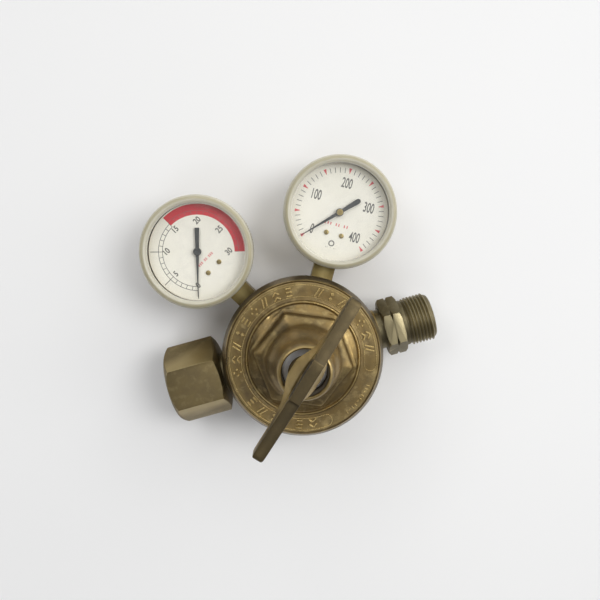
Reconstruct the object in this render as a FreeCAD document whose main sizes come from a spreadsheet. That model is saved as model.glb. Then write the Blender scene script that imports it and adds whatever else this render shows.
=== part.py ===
"""Two-stage brass gas pressure regulator with two dial gauges, lying on its back.

Frame: millimetres, +Z out of the front along the adjusting screw, origin at the centre of the
flat rear face, +X towards the outlet, -X towards the inlet nut, gauges on the +Y side.
Every driving size is a named cell of the Dims sheet. Each sub-part is an object of its own whose
sketches, lengths and placement are bound to those cells.
"""

import FreeCAD, Part
import os
import sys

import Sketcher

Vector = FreeCAD.Vector
Z_AXIS = Vector(0, 0, 1)

# Driving dimensions in millimetres and degrees.
DIMENSIONS = {
    # heights of the main levels above the rear face
    "port_level": 25.5,  # common height of the inlet, outlet and gauge stem axes
    "rear_ring_level": 12,
    "body_base_level": 16,
    "shoulder_level": 41,
    "rim_level": 48,  # top of the body, where the large diaphragm is clamped
    "face_level": 54,  # lettered band of the bonnet
    "boss_level": 101.5,
    "handle_level": 127,
    # body
    "body_radius": 46.5,
    "rim_thread_depth": 2.1,
    "rear_ring_radius": 34,
    "delivery_wall": 10.5,
    "delivery_floor_level": 44,
    "transfer_chamber_radius": 22,
    "transfer_roof_level": 21,
    "valve_well_radius": 6,
    "wall_base_level": 32,
    "wall_top_level": 34,
    "supply_passage_radius": 1.6,
    "passage_level": 28.5,
    "delivery_passage_radius": 2.4,
    "passage_reach": 33,
    # bonnet
    "flange_overhang": 2.1,
    "bevel_depth": 5.3,
    "bevel_width": 2.7,
    "band_inner_radius": 34.2,
    "ridge_height": 1.2,
    "ridge_width": 1.6,
    "skirt_thread_gap": 0.4,
    "hex_flats": 51.2,
    "hex_height": 10,
    "hex_turn": 6,
    "bell_base_radius": 24.4,
    "bell_waist_radius": 18.2,
    "boss_radius": 14.8,
    "recess_radius": 12.6,
    "recess_depth": 13.5,
    "spring_bore_radius": 14.5,
    "spring_bore_top_level": 84,
    "roof_thickness": 3,
    "joint_gap": 0.3,  # clearance left between two faces that only look at each other
    # adjusting screw, bushing and handle
    "screw_radius": 5.9,
    "running_gap": 0.08,
    "bushing_radius": 10,
    "bushing_flange_height": 2.5,
    "screw_travel": 6.125,
    "travel_reserve": 0.9,
    "hub_radius": 10.4,
    "hub_rise": 12,
    "tenon_radius": 4,
    "tenon_length": 9,
    "handle_length": 95,
    "handle_width": 6.2,
    "handle_flat_length": 23,
    "handle_step": 0.6,
    "handle_tip_drop": 3.6,
    "handle_tip_depth": 9.6,
    "handle_web_width": 34,
    "handle_web_drop": 15,
    "handle_turn": 42.6,
    # adjusting spring and its button
    "button_radius": 13,
    "button_height": 5,
    "spring_mean_radius": 11,
    "spring_wire": 3.6,
    "spring_turns": 4,
    "button_level": 78,
    # large diaphragm and what it carries
    "diaphragm_margin": 1.4,
    "diaphragm_thickness": 1.4,
    "slip_ring_height": 1,
    "slip_ring_width": 6,
    "plate_radius": 20,
    "plate_height": 2.2,
    "back_plate_radius": 14,
    "back_plate_height": 1.4,
    "stud_radius": 2.5,
    "stud_rise": 5,
    "nut_flats": 9,
    "nut_height": 3.4,
    # valves, the same design in both stages
    "nozzle_radius": 7,
    "nozzle_length": 4,
    "nozzle_flange_radius": 8.5,
    "nozzle_flange_height": 1.5,
    "nozzle_bore_radius": 1.6,
    "stem_radius": 1,
    "seat_radius": 3.2,
    "seat_height": 1.4,
    "seat_gap": 0.05,
    "poppet_radius": 4.4,
    "poppet_height": 2,
    "poppet_spring_radius": 2.9,
    "poppet_spring_wire": 0.5,
    "poppet_spring_turns": 1.5,
    "open_lift": 0.6,
    # rear cap and first stage
    "cap_flats": 52,
    "cap_hex_height": 11.7,
    "cap_edge": 0.8,
    "cap_plug_radius": 27,
    "cap_cavity_radius": 14,
    "cap_floor": 3.5,
    "small_diaphragm_thickness": 1,
    "cap_top_level": 17,
    "rear_seat_radius": 12,
    "rear_seat_height": 2,
    "rear_plate_radius": 11,
    "rear_plate_height": 1.6,
    "rear_spring_radius": 8.4,
    "rear_spring_wire": 2.2,
    "rear_spring_turns": 2.5,
    # inlet
    "inlet_boss_radius": 13,
    "inlet_boss_stand": 2.5,
    "inlet_thread_radius": 8,
    "inlet_thread_depth": 17,
    "inlet_bore_radius": 3,
    "nipple_shank_radius": 9,
    "nipple_collar_radius": 12,
    "nipple_collar_width": 1.8,
    "nipple_shoulder_radius": 13,
    "nipple_shoulder_width": 4,
    "nipple_nose_radius": 6,
    "nipple_nose_length": 5,
    "nipple_length": 22.5,
    "filter_radius": 5,
    "filter_length": 10,
    "inlet_nut_flats": 42.6,
    "inlet_nut_gap": 2,
    "inlet_nut_length": 34,
    "inlet_nut_wall": 5,
    "inlet_nut_thread_radius": 15,
    "inlet_nut_thread_length": 10,
    "inlet_nut_relief_radius": 16.2,
    "nut_chamfer_slope": 0.5,
    # outlet
    "outlet_boss_radius": 13,
    "outlet_boss_stand": 3,
    "outlet_socket_radius": 10,
    "outlet_neck_radius": 12.5,
    "outlet_hex_flats": 31.75,
    "outlet_neck_length": 3.5,
    "outlet_hex_length": 12,
    "outlet_collar_radius": 14.3,
    "outlet_collar_width": 2.6,
    "outlet_thread_radius": 15.1,
    "outlet_tail_length": 19.6,
    "outlet_bore_radius": 9,
    "outlet_bore_depth": 22,
    "outlet_throat_radius": 5,
    "outlet_chamfer": 1,
    # gauges
    "gauge_stand": 42.9,  # from the side of the body to the middle of each dial
    "delivery_gauge_angle": 120,
    "supply_gauge_angle": 60,
    "gauge_boss_radius": 10,
    "gauge_boss_stand": 0.4,
    "gauge_thread_radius": 6.6,
    "gauge_thread_length": 14,
    "stem_square": 13.2,
    "stem_hole_gap": 0.15,
    "socket_block_top": 14,
    "gauge_bore_radius": 1.5,
    "case_radius": 31.5,
    "case_back": 12,
    "case_front": 15,
    "case_wall": 1.2,
    "lens_overhang": 2.75,
    "lens_skirt_level": 8,
    "lens_crest_level": 22,
    "lens_window_margin": 2.2,
    "lens_window_base": 19,
    "lens_window_top": 20.5,
    "lens_thread_gap": 0.2,
    "dial_margin": 1.7,
    "dial_level": 11.6,
    "dial_thickness": 0.6,
    "dial_screw_spread": 4.7,
    "dial_screw_drop": 13.5,
    "dial_screw_radius": 1.5,
    "dial_screw_head": 0.9,
    "arbor_radius": 0.8,
    "pinion_radius": 1.6,
    "gear_height": 1.2,
    "gear_level": 4.4,
    "pointer_level": 13.8,
    "pointer_thickness": 0.6,
    "pointer_hub_radius": 2.4,
    "pointer_hub_height": 1.8,
    "pointer_margin": 4.1,
    "pointer_tail": 14.5,
    "pointer_width": 2.4,
    "pointer_tip_width": 0.5,
    "tube_radius": 20,
    "tube_thickness": 2.4,
    "tube_height": 8,
    "tube_wall": 0.5,
    "tube_seat_gap": 0.05,
    "tube_sweep": 250,
    "tube_start": 98,  # clockwise from the dial's right-hand side to the brazed end
    "frame_plate_width": 20,
    "frame_plate_top": 5,
    "frame_plate_bottom": 15.4,
    "frame_plate_thickness": 1.2,
    "frame_back_level": 1.5,
    "frame_front_level": 8,
    "pillar_radius": 1.4,
    "pillar_spread": 9.4,
    "sector_pivot_drop": 11,
    "sector_spread": 27,  # half the angle of the toothed arc
    "sector_swing": 23,  # each side of the middle, over the pointer's full travel
    "mesh_gap": 0.06,
    "sector_tail": 4,
}

# Sizes that follow from others, so that whatever is fitted to a part moves with it.
TIED = {
    "rim_thread_radius": "body_radius - rim_thread_depth",
    "skirt_thread_radius": "rim_thread_radius + skirt_thread_gap",
    "diaphragm_radius": "rim_thread_radius - diaphragm_margin",
    "delivery_chamber_radius": "body_radius - delivery_wall",
    "flange_radius": "body_radius + flange_overhang",
    "band_outer_radius": "flange_radius - bevel_width",
    "inlet_boss_reach": "body_radius + inlet_boss_stand",
    "nipple_nose_reach": "inlet_boss_reach + nipple_length",
    "inlet_nut_near": "inlet_boss_reach + inlet_nut_gap",
    "inlet_nut_far": "inlet_nut_near + inlet_nut_length",
    "outlet_boss_reach": "body_radius + outlet_boss_stand",
    "outlet_hex_near": "outlet_boss_reach + outlet_neck_length",
    "outlet_hex_far": "outlet_hex_near + outlet_hex_length",
    "outlet_end": "outlet_hex_far + outlet_tail_length",
    "gauge_reach": "body_radius + gauge_stand",
    "gauge_boss_reach": "body_radius + gauge_boss_stand",
    "lens_radius": "case_radius + lens_overhang",
    "lens_window_radius": "case_radius - lens_window_margin",
    "dial_radius": "case_radius - dial_margin",
    "pointer_reach": "case_radius - pointer_margin",
}

GAUGES = ("delivery", "supply")

doc = FreeCAD.newDocument("GasRegulator")
dims = doc.addObject("Spreadsheet::Sheet", "Dims")
for row, (alias, value) in enumerate(DIMENSIONS.items(), start=1):
    dims.set(f"A{row}", alias)
    dims.set(f"B{row}", str(value))
    dims.setAlias(f"B{row}", alias)
doc.recompute()

finished = []


def bound(text):
    """Turn plain dimension names in an expression into references to the sheet."""
    words = []
    word = ""
    for letter in str(text) + " ":
        if letter.isalnum() or letter == "_":
            word += letter
            continue
        if word in TIED:
            words.append(f"({bound(TIED[word])})")
        else:
            words.append(f"Dims.{word}" if word in DIMENSIONS else word)
        words.append(letter)
        word = ""
    return "".join(words).strip()


def size(text):
    """Value of an expression of dimension names."""
    found = dims.evalExpression(bound(text))
    return float(getattr(found, "Value", found))


def bind(thing, prop, text):
    """Bind a property to an expression of dimension names."""
    thing.setExpression(prop, bound(text))


def new_body(label):
    """Start a sub-part as a PartDesign body."""
    body = doc.addObject("PartDesign::Body", label.title().replace("_", ""))
    body.Label = label
    finished.append(body)
    return body


def new_sketch(body, role, tag):
    """Sketch on one of the body's own origin planes."""
    sketch = body.newObject("Sketcher::SketchObject", f"{body.Name}{tag}")
    plane = [item for item in body.Origin.OriginFeatures if item.Role == role][0]
    sketch.AttachmentSupport = [(plane, "")]
    sketch.MapMode = "FlatFace"
    return sketch


def lift(sketch, text):
    """Offset a sketch along its own normal."""
    sketch.AttachmentOffset = FreeCAD.Placement(Vector(0, 0, size(text)), FreeCAD.Rotation())
    bind(sketch, "AttachmentOffset.Base.z", text)


def polygon(sketch, corners):
    """Closed outline whose corners are pairs of expressions, fixed by driving distances."""
    spots = [Vector(size(x), size(y), 0) for x, y in corners]
    count = len(spots)
    first = sketch.GeometryCount
    lines = [Part.LineSegment(spots[i], spots[(i + 1) % count]) for i in range(count)]
    sketch.addGeometry(lines, False)
    for i in range(count):
        sketch.addConstraint(
            Sketcher.Constraint("Coincident", first + i, 2, first + (i + 1) % count, 1)
        )
    for i, corner in enumerate(corners):
        for kind, text, at in zip(("DistanceX", "DistanceY"), corner, (spots[i].x, spots[i].y)):
            number = sketch.addConstraint(Sketcher.Constraint(kind, -1, 1, first + i, 1, at))
            bind(sketch, f"Constraints[{number}]", text)


def circle(sketch, x, y, radius):
    """Circle at a pair of expressions."""
    spot = Vector(size(x), size(y), 0)
    number = sketch.addGeometry(Part.Circle(spot, Z_AXIS, size(radius)), False)
    for kind, text, at in (("DistanceX", x, spot.x), ("DistanceY", y, spot.y)):
        fixed = sketch.addConstraint(Sketcher.Constraint(kind, -1, 1, number, 3, at))
        bind(sketch, f"Constraints[{fixed}]", text)
    fixed = sketch.addConstraint(Sketcher.Constraint("Radius", number, size(radius)))
    bind(sketch, f"Constraints[{fixed}]", radius)


def hexagon(sketch, flats, turn="0", x="0", y="0"):
    """Regular hexagon given its width across flats; a flat faces the turn angle."""
    corners = []
    for step in range(6):
        angle = f"({turn} + {30 + 60 * step}) * 1deg"
        reach = f"({flats}) / 2 / cos(30deg)"
        corners.append((f"{x} + {reach} * cos({angle})", f"{y} + {reach} * sin({angle})"))
    polygon(sketch, corners)


def turn_profile(body, corners, role="XZ_Plane", tag="Turned", sweep=None):
    """Revolve an outline of (radius, height) corners about Z, or (x, radius) about X."""
    sketch = new_sketch(body, role, f"{tag}Profile")
    polygon(sketch, corners)
    solid = body.newObject("PartDesign::Revolution", f"{body.Name}{tag}")
    solid.Profile = sketch
    solid.ReferenceAxis = (sketch, ["V_Axis" if role == "XZ_Plane" else "H_Axis"])
    if sweep is None:
        solid.Angle = 360
    else:
        bind(solid, "Angle", sweep)
    body.Tip = solid
    return solid


def turn_away(body, corners, role="XZ_Plane", tag="Bored"):
    """Cut a revolved outline out of the body."""
    doc.recompute()
    before = body.Shape.Volume
    sketch = new_sketch(body, role, f"{tag}Profile")
    polygon(sketch, corners)
    cut = body.newObject("PartDesign::Groove", f"{body.Name}{tag}")
    cut.Profile = sketch
    cut.ReferenceAxis = (sketch, ["V_Axis" if role == "XZ_Plane" else "H_Axis"])
    cut.Angle = 360
    finish_cut(body, cut, before)


def finish_cut(body, cut, before):
    """Make a cut the tip and turn it round if it missed the solid."""
    body.Tip = cut
    doc.recompute()
    if body.Shape.Volume > before - 1e-6:
        cut.Reversed = True
        doc.recompute()
    if body.Shape.Volume > before - 1e-6:
        raise RuntimeError(f"{cut.Name} removes nothing")


def pad(body, sketch, length, tag="Pad", reverse=False):
    """Extrude a sketch."""
    solid = body.newObject("PartDesign::Pad", f"{body.Name}{tag}")
    solid.Profile = sketch
    bind(solid, "Length", length)
    solid.Reversed = reverse
    body.Tip = solid
    return solid


def pocket(body, sketch, length, tag="Pocket"):
    """Cut a sketch along its own normal."""
    doc.recompute()
    before = body.Shape.Volume
    cut = body.newObject("PartDesign::Pocket", f"{body.Name}{tag}")
    cut.Profile = sketch
    bind(cut, "Length", length)
    cut.Reversed = True
    finish_cut(body, cut, before)


def radial_sketch(body, angle, reach, tag):
    """Sketch facing outwards at an angle about Z, whose middle is on the port axis."""
    sketch = new_sketch(body, "YZ_Plane", tag)
    sketch.AttachmentOffset = FreeCAD.Placement(
        Vector(size(f"{reach} * sin({angle} * 1deg)"), size("port_level"), 0),
        FreeCAD.Rotation(Vector(0, 1, 0), size(angle)),
    )
    bind(sketch, "AttachmentOffset.Base.x", f"({reach}) * sin({angle} * 1deg)")
    bind(sketch, "AttachmentOffset.Base.y", "port_level")
    bind(sketch, "AttachmentOffset.Base.z", f"({reach}) * cos({angle} * 1deg)")
    bind(sketch, "AttachmentOffset.Rotation.Angle", f"({angle}) * 1deg")
    return sketch


def radial_pad(body, angle, radius, start, end, tag):
    """Round boss from one reach to another at an angle about Z."""
    sketch = radial_sketch(body, angle, start, f"{tag}Outline")
    circle(sketch, "0", "0", radius)
    pad(body, sketch, f"({end}) - ({start})", tag)


def radial_hole(body, angle, radius, start, end, tag, above="0"):
    """Round hole from one reach to another at an angle about Z."""
    sketch = radial_sketch(body, angle, start, f"{tag}Outline")
    circle(sketch, "0", above, radius)
    pocket(body, sketch, f"({end}) - ({start})", tag)


def coil(body, mean_radius, wire, base, height, turns):
    """Helical spring of round wire between two levels."""
    sketch = new_sketch(body, "XZ_Plane", "Wire")
    circle(sketch, mean_radius, f"({base}) + ({wire}) / 2", f"({wire}) / 2")
    helix = body.newObject("PartDesign::AdditiveHelix", f"{body.Name}Coil")
    helix.Profile = sketch
    helix.ReferenceAxis = (sketch, ["V_Axis"])
    helix.Mode = "height-turns-angle"
    bind(helix, "Height", f"({height}) - ({wire})")
    bind(helix, "Turns", turns)
    body.Tip = helix


def washer(label, outer, inner, base, height):
    """Flat ring or disc about Z."""
    body = new_body(label)
    top = f"({base}) + ({height})"
    turn_profile(body, [(inner, base), (outer, base), (outer, top), (inner, top)])
    return body


# ---------------------------------------------------------------- body and bonnet


def make_body():
    """Forged body with the delivery chamber in front and the transfer chamber behind."""
    body = new_body("body")
    turn_profile(
        body,
        [
            ("0", "rear_ring_level"),
            ("rear_ring_radius", "rear_ring_level"),
            ("rear_ring_radius", "body_base_level"),
            ("body_radius - 3", "body_base_level"),
            ("body_radius", "body_base_level + 3"),
            ("body_radius", "shoulder_level"),
            ("rim_thread_radius", "shoulder_level"),
            ("rim_thread_radius", "rim_level"),
            ("0", "rim_level"),
        ],
    )
    core = "transfer_chamber_radius + 2"
    radial_pad(body, "0", "outlet_boss_radius", core, "outlet_boss_reach", "OutletBoss")
    radial_pad(body, "180", "inlet_boss_radius", core, "inlet_boss_reach", "InletBoss")
    for side in GAUGES:
        angle = f"{side}_gauge_angle"
        tag = f"{side.title()}Boss"
        radial_pad(body, angle, "gauge_boss_radius", core, "gauge_boss_reach", tag)
    turn_away(
        body,
        [
            ("0", "wall_top_level"),
            ("valve_well_radius", "wall_top_level"),
            ("valve_well_radius", "delivery_floor_level - nozzle_length"),
            ("nozzle_radius", "delivery_floor_level - nozzle_length"),
            ("nozzle_radius", "delivery_floor_level"),
            ("delivery_chamber_radius", "delivery_floor_level"),
            ("delivery_chamber_radius", "rim_level + 1"),
            ("0", "rim_level + 1"),
        ],
        tag="FrontBore",
    )
    turn_away(
        body,
        [
            ("0", "wall_base_level"),
            ("valve_well_radius", "wall_base_level"),
            ("valve_well_radius", "transfer_roof_level + nozzle_length"),
            ("nozzle_radius", "transfer_roof_level + nozzle_length"),
            ("nozzle_radius", "transfer_roof_level"),
            ("transfer_chamber_radius", "transfer_roof_level"),
            ("transfer_chamber_radius", "cap_top_level + small_diaphragm_thickness"),
            ("cap_plug_radius", "cap_top_level + small_diaphragm_thickness"),
            ("cap_plug_radius", "rear_ring_level - 1"),
            ("0", "rear_ring_level - 1"),
        ],
        tag="RearBore",
    )
    radial_hole(
        body, "180", "inlet_thread_radius", "inlet_boss_reach - inlet_thread_depth",
        "inlet_boss_reach + 1", "InletPort",
    )
    radial_hole(
        body, "180", "supply_passage_radius", "valve_well_radius - 1",
        "inlet_boss_reach - inlet_thread_depth + 1", "InletPassage",
        above="passage_level - port_level",
    )
    radial_hole(
        body, "0", "outlet_socket_radius", "passage_reach - 3", "outlet_boss_reach + 1",
        "OutletPort",
    )
    for side in GAUGES:
        radial_hole(
            body, f"{side}_gauge_angle", "gauge_thread_radius",
            "gauge_boss_reach - gauge_thread_length - 0.5", "gauge_boss_reach + 1",
            f"{side.title()}Port",
        )
    radial_hole(
        body, "supply_gauge_angle", "supply_passage_radius", "valve_well_radius - 1",
        "gauge_boss_reach - gauge_thread_length", "SupplyPassage",
        above="passage_level - port_level",
    )
    for angle, tag in (("0", "OutletRiser"), ("delivery_gauge_angle", "DeliveryRiser")):
        riser = new_sketch(body, "XY_Plane", f"{tag}Outline")
        lift(riser, "port_level")
        circle(
            riser, f"passage_reach * cos({angle} * 1deg)", f"passage_reach * sin({angle} * 1deg)",
            "delivery_passage_radius",
        )
        pocket(body, riser, "delivery_floor_level - port_level + 1", tag)


def make_bonnet():
    """Screwed bonnet: lettered flange, hexagon, bell and boss with the bushing recess."""
    body = new_body("bonnet")
    skirt_base = "shoulder_level + joint_gap"
    hex_top = "face_level + hex_height"
    turn_profile(
        body,
        [
            ("0", skirt_base),
            ("flange_radius - 1", skirt_base),
            ("flange_radius", "shoulder_level + joint_gap + 1"),
            ("flange_radius", "face_level - bevel_depth"),
            ("band_outer_radius", "face_level"),
            ("band_inner_radius", "face_level"),
            ("band_inner_radius - ridge_width / 3", "face_level + ridge_height"),
            ("band_inner_radius - ridge_width", "face_level + ridge_height"),
            ("hex_flats / 2 + 3.4", "face_level + 0.6"),
            ("bell_base_radius", "face_level + 2"),
            ("bell_base_radius", hex_top),
            ("bell_base_radius - 1.2", f"{hex_top} + 4"),
            ("bell_waist_radius + 1.4", f"{hex_top} + 10"),
            ("bell_waist_radius", f"{hex_top} + 19"),
            ("boss_radius + 0.6", "boss_level - 9"),
            ("boss_radius", "boss_level - 2"),
            ("boss_radius - 0.8", "boss_level"),
            ("0", "boss_level"),
        ],
    )
    flats = new_sketch(body, "XY_Plane", "HexOutline")
    lift(flats, "face_level - 1")
    hexagon(flats, "hex_flats", "hex_turn")
    pad(body, flats, "hex_height + 1", "Hex")
    roof = "face_level - roof_thickness"
    clamp = "rim_level + diaphragm_thickness + slip_ring_height"
    turn_away(
        body,
        [
            ("0", "shoulder_level"),
            ("skirt_thread_radius", "shoulder_level"),
            ("skirt_thread_radius", clamp),
            ("diaphragm_radius - slip_ring_width", clamp),
            ("diaphragm_radius - slip_ring_width", roof),
            ("hex_flats / 2", roof),
            ("plate_radius + 2", "face_level + 3"),
            ("spring_bore_radius", "face_level + 9"),
            ("spring_bore_radius", "spring_bore_top_level"),
            ("bushing_radius", "spring_bore_top_level"),
            ("bushing_radius", "boss_level - recess_depth"),
            ("recess_radius", "boss_level - recess_depth"),
            ("recess_radius", "boss_level + 1"),
            ("0", "boss_level + 1"),
        ],
        tag="Cavity",
    )


# ---------------------------------------------------------------- adjusting screw


HUB_BASE = (
    "(boss_level - recess_depth + bushing_flange_height + screw_travel + travel_reserve)"
)


def make_bushing():
    """Bright threaded bushing seated on the floor of the boss recess."""
    body = new_body("bonnet_bushing")
    floor = "boss_level - recess_depth"
    top = f"{floor} + bushing_flange_height"
    turn_profile(
        body,
        [
            ("screw_radius + running_gap", "spring_bore_top_level"),
            ("bushing_radius", "spring_bore_top_level"),
            ("bushing_radius", floor),
            ("recess_radius - 0.2", floor),
            ("recess_radius - 0.2", f"{top} - 0.9"),
            ("recess_radius - 1.1", top),
            ("screw_radius + 1.4", top),
            ("screw_radius + running_gap", f"{top} - 1"),
        ],
    )


def make_adjusting_screw():
    """Screw whose reduced upper end is pressed into the handle."""
    body = new_body("adjusting_screw")
    tip = "button_level + button_height"
    turn_profile(
        body,
        [
            ("0", f"{tip}"),
            ("screw_radius - 1.2", f"{tip}"),
            ("screw_radius", f"{tip} + 1.2"),
            ("screw_radius", HUB_BASE),
            ("tenon_radius", HUB_BASE),
            ("tenon_radius", f"{HUB_BASE} + tenon_length"),
            ("0", f"{HUB_BASE} + tenon_length"),
        ],
    )


def make_handle():
    """Forged T-handle: a flat bar over a tapering web that grows out of a round hub."""
    body = new_body("t_handle")
    outline = new_sketch(body, "XZ_Plane", "BarOutline")
    half = "handle_length / 2"
    tip_top = "handle_level - handle_step - handle_tip_drop"
    tip_base = f"{tip_top} - handle_tip_depth"
    right = [
        (half, f"{tip_base} + 3"),
        (half, f"{tip_top} - 3"),
        (f"{half} - 3", tip_top),
        ("handle_flat_length / 2", "handle_level - handle_step"),
        ("handle_flat_length / 2", "handle_level"),
    ]
    below = [
        ("handle_web_width / 2", "handle_level - handle_web_drop"),
        (f"{half} - 3", tip_base),
    ]
    mirrored = [(f"-({x})", z) for x, z in reversed(right)]
    below_left = [(f"-({x})", z) for x, z in reversed(below)]
    hub_top = f"{HUB_BASE} + 10.5"
    polygon(
        outline,
        right + mirrored + below_left + [("-hub_radius * 0.8", hub_top),
                                         ("hub_radius * 0.8", hub_top)] + below,
    )
    bar = pad(body, outline, "handle_width", "Bar")
    bar.Midplane = True
    hub = new_sketch(body, "XZ_Plane", "HubProfile")
    polygon(
        hub,
        [
            ("0", HUB_BASE),
            ("hub_radius", HUB_BASE),
            ("hub_radius", f"{HUB_BASE} + 3"),
            ("handle_width / 2", f"{HUB_BASE} + hub_rise + 8"),
            ("0", f"{HUB_BASE} + hub_rise + 8"),
        ],
    )
    cone = body.newObject("PartDesign::Revolution", "HandleHub")
    cone.Profile = hub
    cone.ReferenceAxis = (hub, ["V_Axis"])
    cone.Angle = 360
    body.Tip = cone
    turn_away(
        body,
        [
            ("0", f"{HUB_BASE} - 1"),
            ("tenon_radius", f"{HUB_BASE} - 1"),
            ("tenon_radius", f"{HUB_BASE} + tenon_length"),
            ("0", f"{HUB_BASE} + tenon_length"),
        ],
        tag="Socket",
    )
    body.Placement = FreeCAD.Placement(Vector(), FreeCAD.Rotation(Z_AXIS, size("handle_turn")))
    bind(body, "Placement.Rotation.Angle", "handle_turn * 1deg")


def make_adjusting_spring():
    """Spring button under the screw and the large adjusting spring below it."""
    button = new_body("spring_button")
    top = "button_level + button_height"
    turn_profile(
        button,
        [
            ("0", "button_level - 2"),
            ("spring_mean_radius - spring_wire / 2 - 0.5", "button_level - 2"),
            ("spring_mean_radius - spring_wire / 2 - 0.3", "button_level"),
            ("button_radius", "button_level"),
            ("button_radius", f"{top} - 1.5"),
            ("button_radius - 1.5", f"{top}"),
            ("0", f"{top}"),
        ],
    )
    plate_top = "rim_level + diaphragm_thickness + plate_height"
    spring = new_body("adjusting_spring")
    coil(
        spring, "spring_mean_radius", "spring_wire", f"{plate_top} + 0.05",
        f"button_level - ({plate_top}) - 0.1", "spring_turns",
    )


# ---------------------------------------------------------------- diaphragms and valves


def make_delivery_diaphragm():
    """Large diaphragm, the slip ring that clamps it and the plates at its middle."""
    top = "rim_level + diaphragm_thickness"
    washer("delivery_diaphragm", "diaphragm_radius", "stud_radius", "rim_level",
           "diaphragm_thickness")
    washer("slip_ring", "diaphragm_radius", "diaphragm_radius - slip_ring_width", top,
           "slip_ring_height")
    washer("diaphragm_plate", "plate_radius", "stud_radius", top, "plate_height")
    stud = new_body("diaphragm_stud")
    stud_top = f"{top} + plate_height + stud_rise"
    turn_profile(
        stud,
        [
            ("0", "rim_level - back_plate_height"),
            ("back_plate_radius", "rim_level - back_plate_height"),
            ("back_plate_radius", "rim_level"),
            ("stud_radius", "rim_level"),
            ("stud_radius", stud_top),
            ("0", stud_top),
        ],
    )
    nut = new_body("diaphragm_nut")
    sides = new_sketch(nut, "XY_Plane", "Flats")
    lift(sides, f"{top} + plate_height")
    hexagon(sides, "nut_flats")
    circle(sides, "0", "0", "stud_radius")
    pad(nut, sides, "nut_height")


def make_valve(stage, seat_level, stem_end, flange_level, facing):
    """Nozzle, poppet, seat and return spring of one stage.

    facing is 1 where the nozzle lies above its poppet and -1 where it lies below.
    seat_level is the nozzle's seating edge; flange_level its outer end.
    """
    sign = "+" if facing > 0 else "-"
    back = "-" if facing > 0 else "+"
    nozzle = new_body(f"{stage}_nozzle")
    turn_profile(
        nozzle,
        [
            ("nozzle_bore_radius", seat_level),
            ("nozzle_bore_radius + 0.6", seat_level),
            ("nozzle_radius - 1.6", f"{seat_level} {sign} 0.8"),
            ("nozzle_radius", f"{seat_level} {sign} 0.8"),
            ("nozzle_radius", flange_level),
            ("nozzle_flange_radius", flange_level),
            ("nozzle_flange_radius", f"{flange_level} {sign} nozzle_flange_height"),
            ("nozzle_bore_radius", f"{flange_level} {sign} nozzle_flange_height"),
        ],
    )
    gap = "seat_gap" if facing > 0 else "open_lift"
    seat_face = f"{seat_level} {back} {gap}"
    poppet_face = f"{seat_face} {back} seat_height"
    poppet_end = f"{poppet_face} {back} poppet_height"
    seat = new_body(f"{stage}_seat")
    turn_profile(
        seat,
        [
            ("stem_radius", seat_face),
            ("seat_radius", seat_face),
            ("seat_radius", poppet_face),
            ("stem_radius", poppet_face),
        ],
    )
    poppet = new_body(f"{stage}_poppet")
    turn_profile(
        poppet,
        [
            ("0", stem_end),
            ("stem_radius", stem_end),
            ("stem_radius", poppet_face),
            ("poppet_radius", poppet_face),
            ("poppet_radius", poppet_end),
            ("0", poppet_end),
        ],
    )
    spring = new_body(f"{stage}_poppet_spring")
    if facing > 0:
        base, height = "wall_top_level + 0.05", f"{poppet_end} - wall_top_level - 0.1"
    else:
        base, height = f"{poppet_end} + 0.05", f"wall_base_level - ({poppet_end}) - 0.1"
    coil(spring, "poppet_spring_radius", "poppet_spring_wire", base, height,
         "poppet_spring_turns")


def make_rear_stage():
    """Rear cap with the preset spring, its seat, the small diaphragm and its plate."""
    cap = new_body("rear_cap")
    sides = new_sketch(cap, "XY_Plane", "Flats")
    hexagon(sides, "cap_flats")
    pad(cap, sides, "cap_hex_height", "Hex")
    turn_away(
        cap,
        [
            ("cap_flats / 2 + 0.4", "-1"),
            ("cap_flats", "-1"),
            ("cap_flats", "cap_flats / 4"),
            ("cap_flats / 2 + 0.4", "cap_edge"),
        ],
        tag="Edge",
    )
    plug = new_sketch(cap, "XY_Plane", "PlugOutline")
    lift(plug, "cap_hex_height")
    circle(plug, "0", "0", "cap_plug_radius - 0.05")
    pad(cap, plug, "cap_top_level - cap_hex_height", "Plug")
    turn_away(
        cap,
        [
            ("0", "cap_floor"),
            ("cap_cavity_radius", "cap_floor"),
            ("cap_cavity_radius", "cap_top_level - 3"),
            ("transfer_chamber_radius", "cap_top_level - 2"),
            ("transfer_chamber_radius", "cap_top_level + 1"),
            ("0", "cap_top_level + 1"),
        ],
        tag="Cavity",
    )
    washer("first_stage_spring_seat", "rear_seat_radius", "0", "cap_floor",
           "rear_seat_height")
    washer("first_stage_plate", "rear_plate_radius", "0", "cap_top_level - rear_plate_height",
           "rear_plate_height")
    washer("first_stage_diaphragm", "cap_plug_radius - 0.1", "0", "cap_top_level",
           "small_diaphragm_thickness")
    spring = new_body("first_stage_spring")
    seat_top = "cap_floor + rear_seat_height"
    coil(
        spring, "rear_spring_radius", "rear_spring_wire", f"{seat_top} + 0.05",
        f"cap_top_level - rear_plate_height - ({seat_top}) - 0.1", "rear_spring_turns",
    )


# ---------------------------------------------------------------- inlet and outlet


def at_port(body):
    """Raise a part turned about X to the port level."""
    bind(body, "Placement.Base.z", "port_level")


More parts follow.
